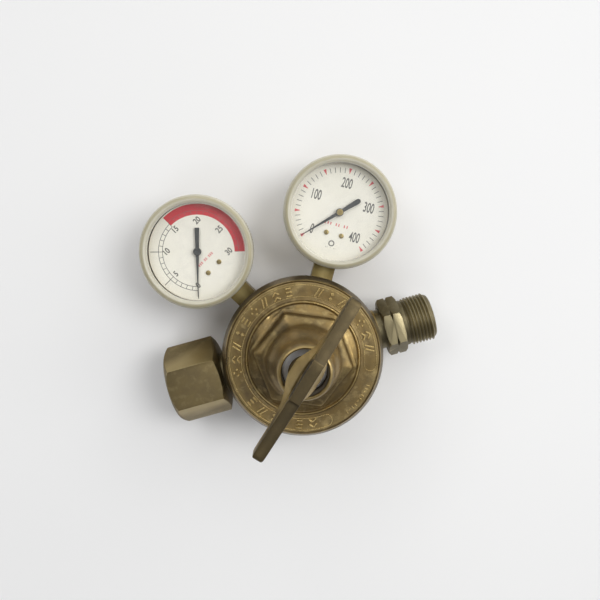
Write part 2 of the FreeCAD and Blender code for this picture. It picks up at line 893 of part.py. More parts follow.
def make_inlet():
    """Inlet nipple with its filter, and the loose hexagon nut that it retains."""
    nipple = new_body("inlet_nipple")
    inner = "-(inlet_boss_reach - inlet_thread_depth)"
    shoulder = "-(nipple_nose_reach - nipple_nose_length)"
    collar = "-(inlet_boss_reach + nipple_collar_width)"
    turn_profile(
        nipple,
        [
            (inner, "inlet_bore_radius"),
            (inner, "inlet_thread_radius"),
            ("-inlet_boss_reach", "inlet_thread_radius"),
            ("-inlet_boss_reach", "nipple_collar_radius"),
            (collar, "nipple_collar_radius"),
            (collar, "nipple_shank_radius"),
            (f"{shoulder} + nipple_shoulder_width", "nipple_shank_radius"),
            (f"{shoulder} + nipple_shoulder_width", "nipple_shoulder_radius"),
            (f"{shoulder}", "nipple_shoulder_radius"),
            (f"{shoulder}", "nipple_nose_radius + 3"),
            ("-nipple_nose_reach + 1", "nipple_nose_radius"),
            ("-nipple_nose_reach", "nipple_nose_radius - 1.2"),
            ("-nipple_nose_reach", "inlet_bore_radius"),
        ],
        role="XY_Plane",
    )
    turn_away(
        nipple,
        [
            (f"{inner} + 1", "0"),
            (f"{inner} + 1", "filter_radius"),
            (f"{inner} - filter_length", "filter_radius"),
            (f"{inner} - filter_length", "0"),
        ],
        role="XY_Plane",
        tag="FilterSeat",
    )
    at_port(nipple)
    screen = new_body("inlet_filter")
    turn_profile(
        screen,
        [
            (f"{inner}", "0"),
            (f"{inner}", "filter_radius"),
            (f"{inner} - filter_length", "filter_radius"),
            (f"{inner} - filter_length", "0"),
        ],
        role="XY_Plane",
    )
    at_port(screen)
    nut = new_body("inlet_nut")
    sides = new_sketch(nut, "YZ_Plane", "Flats")
    lift(sides, "-inlet_nut_far")
    hexagon(sides, "inlet_nut_flats", "90")
    pad(nut, sides, "inlet_nut_far - inlet_nut_near", "Hex")
    for end, sign, tag in (("-inlet_nut_far", "+", "FarChamfer"),
                           ("-inlet_nut_near", "-", "NearChamfer")):
        turn_away(
            nut,
            [
                (f"{end} {'-' if sign == '+' else '+'} 1", "inlet_nut_flats / 2 - 1"),
                (f"{end}", "inlet_nut_flats / 2 - 1"),
                (f"{end} {sign} 10 * nut_chamfer_slope", "inlet_nut_flats / 2 + 9"),
                (f"{end} {'-' if sign == '+' else '+'} 1", "inlet_nut_flats / 2 + 9"),
            ],
            role="XY_Plane",
            tag=tag,
        )
    turn_away(
        nut,
        [
            ("-inlet_nut_far - 1", "0"),
            ("-inlet_nut_far - 1", "inlet_nut_thread_radius"),
            ("-inlet_nut_far + inlet_nut_thread_length", "inlet_nut_thread_radius"),
            ("-inlet_nut_far + inlet_nut_thread_length", "inlet_nut_relief_radius"),
            ("-inlet_nut_near - inlet_nut_wall", "inlet_nut_relief_radius"),
            ("-inlet_nut_near - inlet_nut_wall", "nipple_shank_radius + joint_gap"),
            ("-inlet_nut_near + 1", "nipple_shank_radius + joint_gap"),
            ("-inlet_nut_near + 1", "0"),
        ],
        role="XY_Plane",
        tag="Bore",
    )
    at_port(nut)


def make_outlet():
    """Outlet fitting: threaded tail, hexagon, collar and male hose thread."""
    fitting = new_body("outlet_fitting")
    hex_near, hex_far = "outlet_hex_near", "outlet_hex_far"
    collar_end = "outlet_hex_far + outlet_collar_width"
    turn_profile(
        fitting,
        [
            ("passage_reach + 3", "0"),
            ("passage_reach + 3", "outlet_socket_radius"),
            ("outlet_boss_reach", "outlet_socket_radius"),
            ("outlet_boss_reach", "outlet_neck_radius"),
            (hex_near, "outlet_neck_radius"),
            (hex_far, "outlet_neck_radius"),
            (hex_far, "outlet_collar_radius"),
            (collar_end, "outlet_collar_radius"),
            (collar_end, "outlet_thread_radius"),
            ("outlet_end - outlet_chamfer", "outlet_thread_radius"),
            ("outlet_end", "outlet_thread_radius - outlet_chamfer"),
            ("outlet_end", "0"),
        ],
        role="XY_Plane",
    )
    sides = new_sketch(fitting, "YZ_Plane", "Flats")
    lift(sides, hex_near)
    hexagon(sides, "outlet_hex_flats", "90")
    pad(fitting, sides, f"{hex_far} - {hex_near}", "Hex")
    middle = "(outlet_hex_near + outlet_hex_far) / 2"
    turn_away(
        fitting,
        [
            (f"{middle} - 1.4", "outlet_hex_flats / 2 + 3"),
            (middle, "outlet_hex_flats / 2 + 0.2"),
            (f"{middle} + 1.4", "outlet_hex_flats / 2 + 3"),
        ],
        role="XY_Plane",
        tag="Notch",
    )
    for end, out, into, tag in ((hex_near, "-", "+", "NearChamfer"),
                                (hex_far, "+", "-", "FarChamfer")):
        turn_away(
            fitting,
            [
                (f"{end} {out} 0.5", "outlet_hex_flats / 2 - 0.2"),
                (f"{end}", "outlet_hex_flats / 2 - 0.2"),
                (f"{end} {into} 2.4", "outlet_hex_flats / 2 + 4.6"),
                (f"{end} {out} 0.5", "outlet_hex_flats / 2 + 4.6"),
            ],
            role="XY_Plane",
            tag=tag,
        )
    turn_away(
        fitting,
        [
            ("passage_reach + 2", "0"),
            ("passage_reach + 2", "outlet_throat_radius"),
            ("outlet_end - outlet_bore_depth", "outlet_throat_radius"),
            ("outlet_end - outlet_bore_depth", "outlet_bore_radius"),
            ("outlet_end + 1", "outlet_bore_radius"),
            ("outlet_end + 1", "0"),
        ],
        role="XY_Plane",
        tag="Bore",
    )
    at_port(fitting)


# ---------------------------------------------------------------- gauges


def place_on_gauge(body, side):
    """Move a part modelled about its dial centre out to one of the gauges.

    The part's -Y points at the screw axis, so its +Y is the top of the dial.
    """
    angle = f"{side}_gauge_angle"
    body.Placement = FreeCAD.Placement(Vector(), FreeCAD.Rotation(Z_AXIS, size(f"{angle} - 90")))
    bind(body, "Placement.Rotation.Angle", f"({angle} - 90) * 1deg")
    bind(body, "Placement.Base.x", f"gauge_reach * cos({angle} * 1deg)")
    bind(body, "Placement.Base.y", f"gauge_reach * sin({angle} * 1deg)")
    bind(body, "Placement.Base.z", "port_level")


def rectangle(sketch, left, right, low, high):
    """Upright rectangle between four expressions."""
    polygon(sketch, [(left, low), (right, low), (right, high), (left, high)])


def make_case(side):
    """Drawn case cup with a square opening for the stem."""
    body = new_body(f"{side}_gauge_case")
    turn_profile(
        body,
        [
            ("0", "-case_back"),
            ("case_radius - 2", "-case_back"),
            ("case_radius", "-case_back + 2"),
            ("case_radius", "case_front"),
            ("case_radius - case_wall", "case_front"),
            ("case_radius - case_wall", "-case_back + case_wall + 2"),
            ("case_radius - case_wall - 2", "-case_back + case_wall"),
            ("0", "-case_back + case_wall"),
        ],
    )
    hole = new_sketch(body, "XZ_Plane", "StemHole")
    lift(hole, "case_radius - case_wall - 6")
    half = "(stem_square / 2 + stem_hole_gap)"
    rectangle(hole, f"-{half}", half, f"-{half}", half)
    pocket(body, hole, "case_wall + 8", "StemHole")
    place_on_gauge(body, side)


def make_socket(side):
    """Brass stem and socket in one piece: pipe thread, square bar and Bourdon block."""
    body = new_body(f"{side}_gauge_socket")
    block = new_sketch(body, "XZ_Plane", "BarOutline")
    lift(block, "socket_block_top")
    half = "stem_square / 2"
    rectangle(block, f"-{half}", half, f"-{half}", half)
    pad(body, block, "gauge_reach - gauge_boss_reach - socket_block_top", "Bar")
    thread = new_sketch(body, "XZ_Plane", "ThreadOutline")
    lift(thread, "gauge_reach - gauge_boss_reach")
    circle(thread, "0", "0", "gauge_thread_radius")
    pad(body, thread, "gauge_thread_length", "Thread")
    bore = new_sketch(body, "XZ_Plane", "BoreOutline")
    lift(bore, "tube_radius")
    circle(bore, "0", "0", "gauge_bore_radius")
    pocket(body, bore, "gauge_reach", "Bore")
    step = new_sketch(body, "XY_Plane", "MovementStep")
    lift(step, "frame_back_level")
    rectangle(step, "-stem_square", "stem_square",
              "-tube_radius - tube_thickness / 2", "-socket_block_top + 1")
    pocket(body, step, "stem_square / 2", "MovementStep")
    inner = "tube_radius - tube_thickness / 2 - tube_seat_gap"
    outer = "tube_radius + tube_thickness / 2 + tube_seat_gap"
    turn_away(
        body,
        [
            (inner, "-tube_height / 2"),
            (outer, "-tube_height / 2"),
            (outer, "stem_square / 2 + 1"),
            (inner, "stem_square / 2 + 1"),
        ],
        tag="TubeSlot",
    )
    place_on_gauge(body, side)


def make_tube(side):
    """Flattened Bourdon tube, a hollow C that starts on the socket block."""
    body = new_body(f"{side}_bourdon_tube")
    section = new_sketch(body, "XZ_Plane", "Section")
    section.AttachmentOffset = FreeCAD.Placement(
        Vector(), FreeCAD.Rotation(Vector(0, 1, 0), -size("tube_start"))
    )
    bind(section, "AttachmentOffset.Rotation.Angle", "-tube_start * 1deg")
    rectangle(section, "tube_radius - tube_thickness / 2", "tube_radius + tube_thickness / 2",
              "-tube_height / 2", "tube_height / 2")
    rectangle(section, "tube_radius - tube_thickness / 2 + tube_wall",
              "tube_radius + tube_thickness / 2 - tube_wall",
              "-tube_height / 2 + tube_wall", "tube_height / 2 - tube_wall")
    bend = body.newObject("PartDesign::Revolution", f"{body.Name}Bend")
    bend.Profile = section
    bend.ReferenceAxis = (section, ["V_Axis"])
    bind(bend, "Angle", "tube_sweep * 1deg")
    body.Tip = bend
    place_on_gauge(body, side)


def make_movement(side):
    """Two movement plates on pillars, which carry the sector, the pinion and the dial."""
    body = new_body(f"{side}_movement")
    half = "frame_plate_width / 2"
    for base, tag in (("frame_back_level", "Back"), ("frame_front_level", "Front")):
        plate = new_sketch(body, "XY_Plane", f"{tag}Outline")
        lift(plate, base)
        rectangle(plate, f"-{half}", half, "-frame_plate_bottom", "frame_plate_top")
        circle(plate, "0", "0", "arbor_radius + running_gap")
        if tag == "Back":
            pad(body, plate, "frame_plate_thickness", tag)
            posts = new_sketch(body, "XY_Plane", "Pillars")
            lift(posts, "frame_back_level")
            for sign in ("-", ""):
                circle(posts, f"{sign}pillar_spread", "frame_plate_top - 2.4", "pillar_radius")
                circle(posts, f"{sign}dial_screw_spread", "-dial_screw_drop", "pillar_radius")
            pad(body, posts, "dial_level - frame_back_level", "Pillars")
        else:
            pad(body, plate, "frame_plate_thickness", tag)
    place_on_gauge(body, side)


def make_sector(side):
    """Sector gear blank on its pivot, at the start of its swing."""
    body = new_body(f"{side}_sector")
    blank = new_sketch(body, "XY_Plane", "Outline")
    lift(blank, "gear_level")
    reach = "(sector_pivot_drop - pinion_radius - mesh_gap)"
    # the tail points straight away from the middle of the toothed arc
    across, along = "cos(sector_swing * 1deg)", "sin(sector_swing * 1deg)"
    corners = []
    for half, back in (("-0.9", "sector_tail"), ("0.9", "sector_tail"), ("1.8", "0")):
        corners.append((f"{half} * {across} - {back} * {along}",
                        f"-sector_pivot_drop - {half} * {along} - {back} * {across}"))
    for step in range(5):
        angle = f"(90 - sector_swing + {step - 2} * sector_spread / 2) * 1deg"
        corners.append((f"{reach} * cos({angle})",
                        f"-sector_pivot_drop + {reach} * sin({angle})"))
    corners.append((f"-1.8 * {across}", f"-sector_pivot_drop + 1.8 * {along}"))
    polygon(blank, corners)
    pad(body, blank, "gear_height", "Blank")
    pivot = new_sketch(body, "XY_Plane", "PivotOutline")
    lift(pivot, "frame_back_level + frame_plate_thickness + 0.1")
    circle(pivot, "0", "-sector_pivot_drop", "pillar_radius")
    pad(body, pivot, "frame_front_level - frame_back_level - frame_plate_thickness - 0.2",
        "Pivot")
    place_on_gauge(body, side)


def make_dial(side):
    """Dial plate with its two screws."""
    body = new_body(f"{side}_dial")
    face = new_sketch(body, "XY_Plane", "Outline")
    lift(face, "dial_level")
    circle(face, "0", "0", "dial_radius")
    circle(face, "0", "0", "arbor_radius + 0.5")
    pad(body, face, "dial_thickness")
    place_on_gauge(body, side)
    screws = doc.addObject("Part::Compound", f"{side.title()}DialScrews")
    pair = []
    for sign, tag in ((-1, "Left"), (1, "Right")):
        head = doc.addObject("Part::Cylinder", f"{side.title()}{tag}DialScrew")
        bind(head, "Radius", "dial_screw_radius")
        bind(head, "Height", "dial_screw_head")
        bind(head, "Placement.Base.x", f"{sign} * dial_screw_spread")
        bind(head, "Placement.Base.y", "-dial_screw_drop")
        bind(head, "Placement.Base.z", "dial_level + dial_thickness")
        pair.append(head)
    screws.Links = pair
    screws.Label = f"{side}_dial_screws"
    finished.append(screws)
    place_on_gauge(screws, side)


def make_pointer(side):
    """Pointer riveted on its hub and pinion arbor, resting at zero."""
    body = new_body(f"{side}_pointer")
    hub_top = "pointer_level + pointer_hub_height"
    turn_profile(
        body,
        [
            ("0", "frame_back_level"),
            ("arbor_radius", "frame_back_level"),
            ("arbor_radius", "gear_level"),
            ("pinion_radius", "gear_level"),
            ("pinion_radius", "gear_level + gear_height"),
            ("arbor_radius", "gear_level + gear_height"),
            ("arbor_radius", "pointer_level - 0.6"),
            ("pointer_hub_radius", "pointer_level - 0.6"),
            ("pointer_hub_radius", hub_top),
            ("0", hub_top),
        ],
    )
    blade = new_sketch(body, "XY_Plane", "BladeOutline")
    lift(blade, "pointer_level")
    # the blade lies along the direction of the zero mark, 135 degrees to the left of the top
    along, across = "sin(45deg)", "cos(45deg)"
    corners = []
    for reach, half in (("pointer_reach", "pointer_tip_width / 2"),
                        ("pointer_hub_radius", "pointer_width / 2"),
                        ("-pointer_tail", "pointer_width / 2")):
        for sign in (1, -1):
            corners.append((f"-({reach}) * {along} + {sign} * {half} * {across}",
                            f"-({reach}) * {across} - {sign} * {half} * {along}"))
    order = [0, 2, 4, 5, 3, 1]
    polygon(blade, [corners[i] for i in order])
    pad(body, blade, "pointer_thickness", "Blade")
    place_on_gauge(body, side)


def make_lens(side):
    """One-piece clear plastic lens cap screwed over the case."""
    body = new_body(f"{side}_lens")
    inner = "case_radius + lens_thread_gap"
    turn_profile(
        body,
        [
            (inner, "lens_skirt_level"),
            ("lens_radius - 1", "lens_skirt_level"),
            ("lens_radius", "lens_skirt_level + 1"),
            ("lens_radius", "lens_crest_level - 3"),
            ("lens_radius - 1.4", "lens_crest_level - 0.6"),
            ("lens_radius - 2.4", "lens_crest_level"),
            ("lens_window_radius + 1", "lens_crest_level - 0.4"),
            ("lens_window_radius", "lens_window_top"),
            ("0", "lens_window_top"),
            ("0", "lens_window_base"),
            ("lens_window_radius + 0.8", "lens_window_base"),
            ("lens_window_radius + 0.8", "case_front + lens_thread_gap"),
            (inner, "case_front + lens_thread_gap"),
        ],
    )
    place_on_gauge(body, side)


def export_parts():
    """Check every object and solid, then write one STEP file for each sub-part."""
    for item in doc.Objects:
        if any(word in ("Invalid", "Error") for word in item.State):
            sys.exit(f"{item.Name} did not compute: {item.State}")
    os.makedirs("parts", exist_ok=True)
    for item in finished:
        shape = item.Shape
        if shape.isNull() or not shape.isValid() or not shape.Solids:
            sys.exit(f"{item.Label} has no valid solid")
        shape.exportStep(os.path.join("parts", f"{item.Label}.step"))
    print(f"{len(finished)} sub-parts written")


make_body()
make_bonnet()
make_bushing()
make_adjusting_screw()
make_handle()
make_adjusting_spring()
make_delivery_diaphragm()
make_valve(
    "delivery", "(delivery_floor_level - nozzle_length)", "rim_level - back_plate_height",
    "delivery_floor_level", 1,
)
make_rear_stage()
make_valve(
    "first_stage", "(transfer_roof_level + nozzle_length)",
    "cap_top_level + small_diaphragm_thickness + seat_gap", "transfer_roof_level", -1,
)
make_inlet()
make_outlet()
for gauge_side in GAUGES:
    make_socket(gauge_side)
    make_case(gauge_side)
    make_tube(gauge_side)
    make_movement(gauge_side)
    make_sector(gauge_side)
    make_dial(gauge_side)
    make_pointer(gauge_side)
    make_lens(gauge_side)
doc.recompute()
export_parts()
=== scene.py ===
"""Looks of a brass two-stage gas regulator with two dial gauges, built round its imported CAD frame.

Lengths in the classes are millimetres and are turned into metres where a mesh is made. The frame's
+Z runs out of the front along the adjusting screw, +X towards the outlet and -X towards the inlet.
"""

import logging
import math
from dataclasses import dataclass
from enum import Enum
from itertools import pairwise
from typing import Callable, Iterable, Sequence, Union

import bpy
from mathutils import Matrix, Vector


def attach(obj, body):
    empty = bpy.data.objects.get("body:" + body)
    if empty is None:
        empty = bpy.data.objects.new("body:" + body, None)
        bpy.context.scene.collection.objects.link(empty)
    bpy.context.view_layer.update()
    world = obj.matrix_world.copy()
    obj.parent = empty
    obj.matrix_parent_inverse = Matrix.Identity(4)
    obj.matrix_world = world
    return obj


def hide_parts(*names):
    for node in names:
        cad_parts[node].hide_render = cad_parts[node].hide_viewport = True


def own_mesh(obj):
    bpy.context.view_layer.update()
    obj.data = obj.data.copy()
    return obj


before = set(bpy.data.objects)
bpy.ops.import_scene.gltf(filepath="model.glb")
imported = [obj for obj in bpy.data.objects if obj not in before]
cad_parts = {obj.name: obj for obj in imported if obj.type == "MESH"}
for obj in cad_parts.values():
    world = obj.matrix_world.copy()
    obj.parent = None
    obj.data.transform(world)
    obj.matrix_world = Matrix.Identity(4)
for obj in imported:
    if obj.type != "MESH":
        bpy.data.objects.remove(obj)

LOG = logging.getLogger("regulator")
MM = 0.001
PORT_LEVEL = 25.5  # height of the gas ways and of the gauges' sockets
QUARTER = math.pi / 2
Colour = tuple[float, float, float]
Point = tuple[float, float, float]
Outline = Sequence[tuple[float, float]]
Station = tuple[float, float, float, float]  # place along Y, half width, underside, top


# ------------------------------------------------------------------------- shader sums


class Tap:
    """A shader socket that can stand in a Python sum."""

    def __init__(self, tree: bpy.types.NodeTree, socket: bpy.types.NodeSocket) -> None:
        """Wrap a socket of a node tree.

        Args:
            tree: The tree that new Math nodes are added to.
            socket: The output socket to read.
        """
        self.tree = tree
        self.socket = socket

    def _math(self, operation: str, first: "Value", second: "Value",
              clamp: bool = False) -> "Tap":
        """Add a Math node.

        Args:
            operation: Name of the node's operation.
            first: First operand.
            second: Second operand.
            clamp: Whether the result is held between 0 and 1.

        Returns:
            The node's result.
        """
        node = self.tree.nodes.new("ShaderNodeMath")
        node.operation = operation
        node.use_clamp = clamp
        for socket, value in zip(node.inputs, (first, second)):
            if isinstance(value, Tap):
                self.tree.links.new(value.socket, socket)
            else:
                socket.default_value = value
        return Tap(self.tree, node.outputs[0])

    def __add__(self, other: "Value") -> "Tap":
        """Sum of two values."""
        return self._math("ADD", self, other)

    def __sub__(self, other: "Value") -> "Tap":
        """Difference of two values."""
        return self._math("SUBTRACT", self, other)

    def __rsub__(self, other: "Value") -> "Tap":
        """Difference with a number on the left."""
        return self._math("SUBTRACT", other, self)

    def __mul__(self, other: "Value") -> "Tap":
        """Product of two values."""
        return self._math("MULTIPLY", self, other)

    def held(self) -> "Tap":
        """The same value, held between 0 and 1."""
        return self._math("ADD", self, 0.0, clamp=True)


Value = Union[Tap, float]


class Recipe:
    """A node tree under construction."""

    def __init__(self, tree: bpy.types.NodeTree) -> None:
        """Start from an empty tree.

        Args:
            tree: The node tree to fill.
        """
        self.tree = tree
        tree.nodes.clear()

    def node(self, kind: str, settings: dict | None = None, inputs: dict | None = None,
             output: int = 0) -> Tap:
        """Add any node.

        Args:
            kind: The node's type name.
            settings: Properties set first; "stops" fills a colour ramp.
            inputs: Values or taps by socket name or number.
            output: Which output the returned tap reads.

        Returns:
            A tap on the chosen output.
        """
        node = self.tree.nodes.new(kind)
        for name, value in (settings or {}).items():
            if name == "stops":
                ramp = node.color_ramp.elements
                while len(ramp) < len(value):
                    ramp.new(1.0)
                for element, (place, colour) in zip(ramp, value):
                    element.position = place
                    element.color = (*colour, 1.0)
            else:
                setattr(node, name, value)
        for name, value in (inputs or {}).items():
            socket = node.inputs[name]
            if isinstance(value, Tap):
                self.tree.links.new(value.socket, socket)
            elif isinstance(value, tuple) and socket.type == "RGBA":
                socket.default_value = (*value, 1.0)
            else:
                socket.default_value = value
        outputs = node.outputs
        return Tap(self.tree, outputs[output]) if len(outputs) else Tap(self.tree, None)

    def place(self) -> Tap:
        """Object coordinates, in metres."""
        return self.node("ShaderNodeTexCoord", output=3)

    def noise(self, place: Tap, scale: float, detail: float = 3.0, roughness: float = 0.55) -> Tap:
        """Noise texture.

        Args:
            place: Coordinates.
            scale: Waves to the metre.
            detail: Octaves.
            roughness: Strength of the finer octaves.

        Returns:
            The noise between 0 and 1.
        """
        return self.node("ShaderNodeTexNoise", inputs={
            "Vector": place, "Scale": scale, "Detail": detail, "Roughness": roughness})

    def blend(self, first: Tap | Colour, second: Tap | Colour, share: Value) -> Tap:
        """Mix two colours.

        Args:
            first: Colour at share 0.
            second: Colour at share 1.
            share: How much of the second.

        Returns:
            The mixed colour.
        """
        return self.node("ShaderNodeMix", {"data_type": "RGBA", "clamp_factor": True},
                         {0: share, 6: first, 7: second}, output=2)

    def spread(self, value: Tap, low: float, high: float) -> Tap:
        """Map the values from low to high onto 0 to 1, held at both ends."""
        return ((value - low) * (1.0 / (high - low))).held()

    def level(self, place: Tap) -> Tap:
        """Height of a place, in metres."""
        return self.node("ShaderNodeSeparateXYZ", inputs={0: place}, output=2)

    def measure(self, operation: str, first: Tap, second: Point | None = None,
                output: int = 0) -> Tap:
        """Vector sum.

        Args:
            operation: Name of the Vector Math node's operation.
            first: First vector.
            second: Second vector, where the operation takes one.
            output: 0 for a vector, 1 for a number.

        Returns:
            The result.
        """
        inputs = {0: first} if second is None else {0: first, 1: second}
        return self.node("ShaderNodeVectorMath", {"operation": operation}, inputs, output)

    def surface(self, inputs: dict, height: Tap | None = None, strength: float = 0.12,
                depth: float = 0.2) -> None:
        """Close the tree with a Principled surface.

        Args:
            inputs: Values or taps of the Principled node.
            height: Height that roughens the surface; without it the surface is smooth.
            strength: Strength of the roughening.
            depth: Depth of the roughening, in millimetres.
        """
        if height is not None:
            inputs = inputs | {"Normal": self.node("ShaderNodeBump", inputs={
                "Strength": strength, "Distance": depth * MM, "Height": height})}
        shader = self.node("ShaderNodeBsdfPrincipled", inputs=inputs)
        self.node("ShaderNodeOutputMaterial", inputs={"Surface": shader})


def new_recipe(name: str) -> tuple[bpy.types.Material, Recipe]:
    """Make a material and the recipe that fills it.

    Args:
        name: The material's name.

    Returns:
        The material and its empty recipe.
    """
    material = bpy.data.materials.new(name)
    material.use_nodes = True
    return material, Recipe(material.node_tree)


# ------------------------------------------------------------------------- finishes


class Finish:
    """A finish that is mixed once and then shared by the pieces that wear it."""

    name: str

    def mix(self) -> bpy.types.Material:
        """Fill a new material with this finish."""
        raise NotImplementedError

    def material(self) -> bpy.types.Material:
        """The finish's material, made at its first use."""
        return bpy.data.materials.get(self.name) or self.mix()


@dataclass(frozen=True)
class AgedBrass(Finish):
    """Brass whose crests are worn bright and whose hollows hold a matt brown oxide; it can also be
    darkened by height, which on the handle is painted shade.
    """

    name: str
    body: Colour
    worn: Colour
    patina: Colour
    roughness: float = 0.36
    patina_share: float = 0.5
    grain: float = 0.25
    edge_gain: float = 9.0
    dull: tuple[float, float] = (0.0, 0.0)  # level where the brass keeps its colour, and where it is fully darkened
    metallic: float = 0.9
    grime: Colour = (0.05, 0.04, 0.03)
    flat_point: float = 0.5  # pointiness of a flat face; crests lie above it, hollows below
    point_margin: float = 0.005
    drift: float = 4.0  # how far the edge of the darkening by height wanders

    def mix(self) -> bpy.types.Material:
        """Fill a new material with this finish."""
        material, recipe = new_recipe(self.name)
        place = recipe.place()
        clouds = recipe.noise(place, 55.0, 4.0)
        patches = recipe.noise(place, 190.0, 5.0, 0.62)
        specks = recipe.noise(place, 1500.0, 4.0, 0.7)
        point = recipe.node("ShaderNodeNewGeometry", output=7)
        crest = ((point - (self.flat_point + self.point_margin)) * self.edge_gain).held()
        hollow = (((self.flat_point - self.point_margin) - point) * self.edge_gain).held()
        dulled = recipe.spread(clouds * 0.6 + patches * 0.4, 0.36, 0.62) * self.patina_share
        colour = recipe.blend(self.body, self.patina, dulled)
        colour = recipe.blend(colour, self.worn, recipe.spread(patches, 0.52, 0.75) * 0.45)
        colour = recipe.blend(colour, self.patina, (hollow * 0.85).held())
        colour = recipe.blend(colour, self.worn, (crest * 0.8).held())
        colour = recipe.blend(colour, self.grime, recipe.spread(specks, 0.66, 0.8) * 0.35)
        # Darkening by height towards the patina colour: painted shade on the handle's top faces; on
        # the bonnet it makes the brass darker below the marked band.
        if any(self.dull):
            clear, deep = (edge * MM for edge in self.dull)
            wander = (clouds - 0.5) * (self.drift * MM)
            share = recipe.spread(recipe.level(place) + wander, clear, deep)
            colour = recipe.blend(colour, self.patina, (share * (0.9 - crest * 0.5)).held())
        rough = (dulled * 0.22 + specks * 0.14 + (self.roughness - 0.07) - crest * 0.1).held()
        recipe.surface({"Base Color": colour, "Metallic": self.metallic, "Roughness": rough},
                       specks * 0.6 + patches * 0.9, self.grain, 0.4)
        return material


@dataclass(frozen=True)
class PlainMetal(Finish):
    """Clean machined or plated metal with fine tool marks."""

    name: str
    body: Colour
    shade: Colour
    roughness: float = 0.28
    metallic: float = 1.0

    def mix(self) -> bpy.types.Material:
        """Fill a new material with this finish."""
        material, recipe = new_recipe(self.name)
        place = recipe.place()
        clouds = recipe.noise(place, 260.0, 4.0)
        marks = recipe.noise(place, 2600.0, 2.0, 0.7)
        colour = recipe.blend(self.body, self.shade, recipe.spread(clouds, 0.42, 0.68))
        rough = (marks * 0.16 + clouds * 0.1 + (self.roughness - 0.12)).held()
        recipe.surface({"Base Color": colour, "Metallic": self.metallic, "Roughness": rough},
                       marks)
        return material


@dataclass(frozen=True)
class Moulded(Finish):
    """Plastic, rubber or paint: a fine uneven skin with slight stains."""

    name: str
    body: Colour
    stain: Colour
    roughness: float = 0.5
    grain: float = 0.15
    scale: float = 900.0
    stain_share: float = 0.5

    def mix(self) -> bpy.types.Material:
        """Fill a new material with this finish."""
        material, recipe = new_recipe(self.name)
        place = recipe.place()
        clouds = recipe.noise(place, 70.0, 5.0)
        skin = recipe.noise(place, self.scale, 3.0)
        share = recipe.spread(clouds, 0.4, 0.75) * self.stain_share
        colour = recipe.blend(self.body, self.stain, share)
        rough = (skin * 0.14 + (self.roughness - 0.07)).held()
        recipe.surface({"Base Color": colour, "Roughness": rough}, skin, self.grain)
        return material


@dataclass(frozen=True)
class LensPlastic(Finish):
    """Clear plastic lens cap, yellowed, milky in the ring and skirt and clear in the window."""

    name: str
    centre: tuple[float, float]
    window: float
    clear: float = 0.015
    milky: float = 0.7
    # Painted light: the ring's top is coloured paler (crown) than its sides (ring), as if lit from
    # above.
    ring: Colour = (0.50, 0.47, 0.33)
    crown: Colour = (0.74, 0.71, 0.59)
    brass: Colour = (0.40, 0.35, 0.19)  # the case's edge seen through the cap
    yellowed: Colour = (0.90, 0.89, 0.83)
    window_edge: tuple[float, float] = (-0.5, 0.7)  # from the window's radius
    seat_inside: tuple[float, float] = (1.6, 2.4)
    seat_outside: tuple[float, float] = (4.4, 3.4)
    crown_levels: tuple[float, float] = (40.0, 47.5)
    refraction: float = 1.49

    def band(self, recipe: Recipe, reach: Tap, edges: tuple[float, float]) -> Tap:
        """Rise from 0 to 1 between two radii.

        Args:
            recipe: The tree being filled.
            reach: Distance from the window's middle, in metres.
            edges: Both radii, counted from the window's, in millimetres.

        Returns:
            The rise.
        """
        low, high = ((self.window + edge) * MM for edge in edges)
        return recipe.spread(reach, low, high)

    def mix(self) -> bpy.types.Material:
        """Fill a new material with this finish."""
        material, recipe = new_recipe(self.name)
        place = recipe.place()
        centre = tuple(value * MM for value in self.centre) + (0.0,)
        flat = recipe.measure("MULTIPLY", recipe.measure("SUBTRACT", place, centre), (1, 1, 0))
        reach = recipe.measure("LENGTH", flat, output=1)
        outside = self.band(recipe, reach, self.window_edge)
        smears = recipe.noise(place, 120.0, 5.0, 0.6)
        fine = recipe.noise(place, 1800.0, 3.0)
        # Painted light: the ring pales from its sides to its lit top between crown_levels.
        low, high = (level * MM for level in self.crown_levels)
        crown = recipe.spread(recipe.level(place), low, high)
        tint = recipe.blend(self.ring, self.crown, (crown + smears * 0.3 - 0.15).held())
        seat = (self.band(recipe, reach, self.seat_inside)
                * self.band(recipe, reach, self.seat_outside))
        tint = recipe.blend(tint, self.brass, (seat * 0.75).held())
        colour = recipe.blend(self.yellowed, tint, outside)
        haze = recipe.spread(smears, 0.5, 0.72) * 0.04 + self.clear
        alpha = (outside * (self.milky - self.clear) + haze + fine * 0.01).held()
        rough = (outside * 0.16 + smears * 0.1 + 0.1).held()
        recipe.surface({"Base Color": colour, "Roughness": rough, "Alpha": alpha,
                        "IOR": self.refraction}, fine, 0.06)
        return material


class Ink(Enum):
    """Printing inks on the dials."""

    BLACK = Moulded("ink_black", (0.02, 0.02, 0.022), (0.05, 0.05, 0.05), 0.55)
    RED = Moulded("ink_red", (0.62, 0.035, 0.05), (0.50, 0.02, 0.045), 0.5)
    PINK = Moulded("ink_faded_red", (0.66, 0.09, 0.11), (0.72, 0.2, 0.2), 0.5)
    GREY = Moulded("ink_grey", (0.12, 0.12, 0.115), (0.2, 0.2, 0.19), 0.55)


# dull makes the bonnet darker below its marked band, towards the flange rim.
BONNET_BRASS = AgedBrass("aged_bonnet_brass", (0.30, 0.205, 0.075), (0.74, 0.56, 0.24),
                         (0.10, 0.08, 0.052), 0.27, 0.8, dull=(53.9, 52.4))
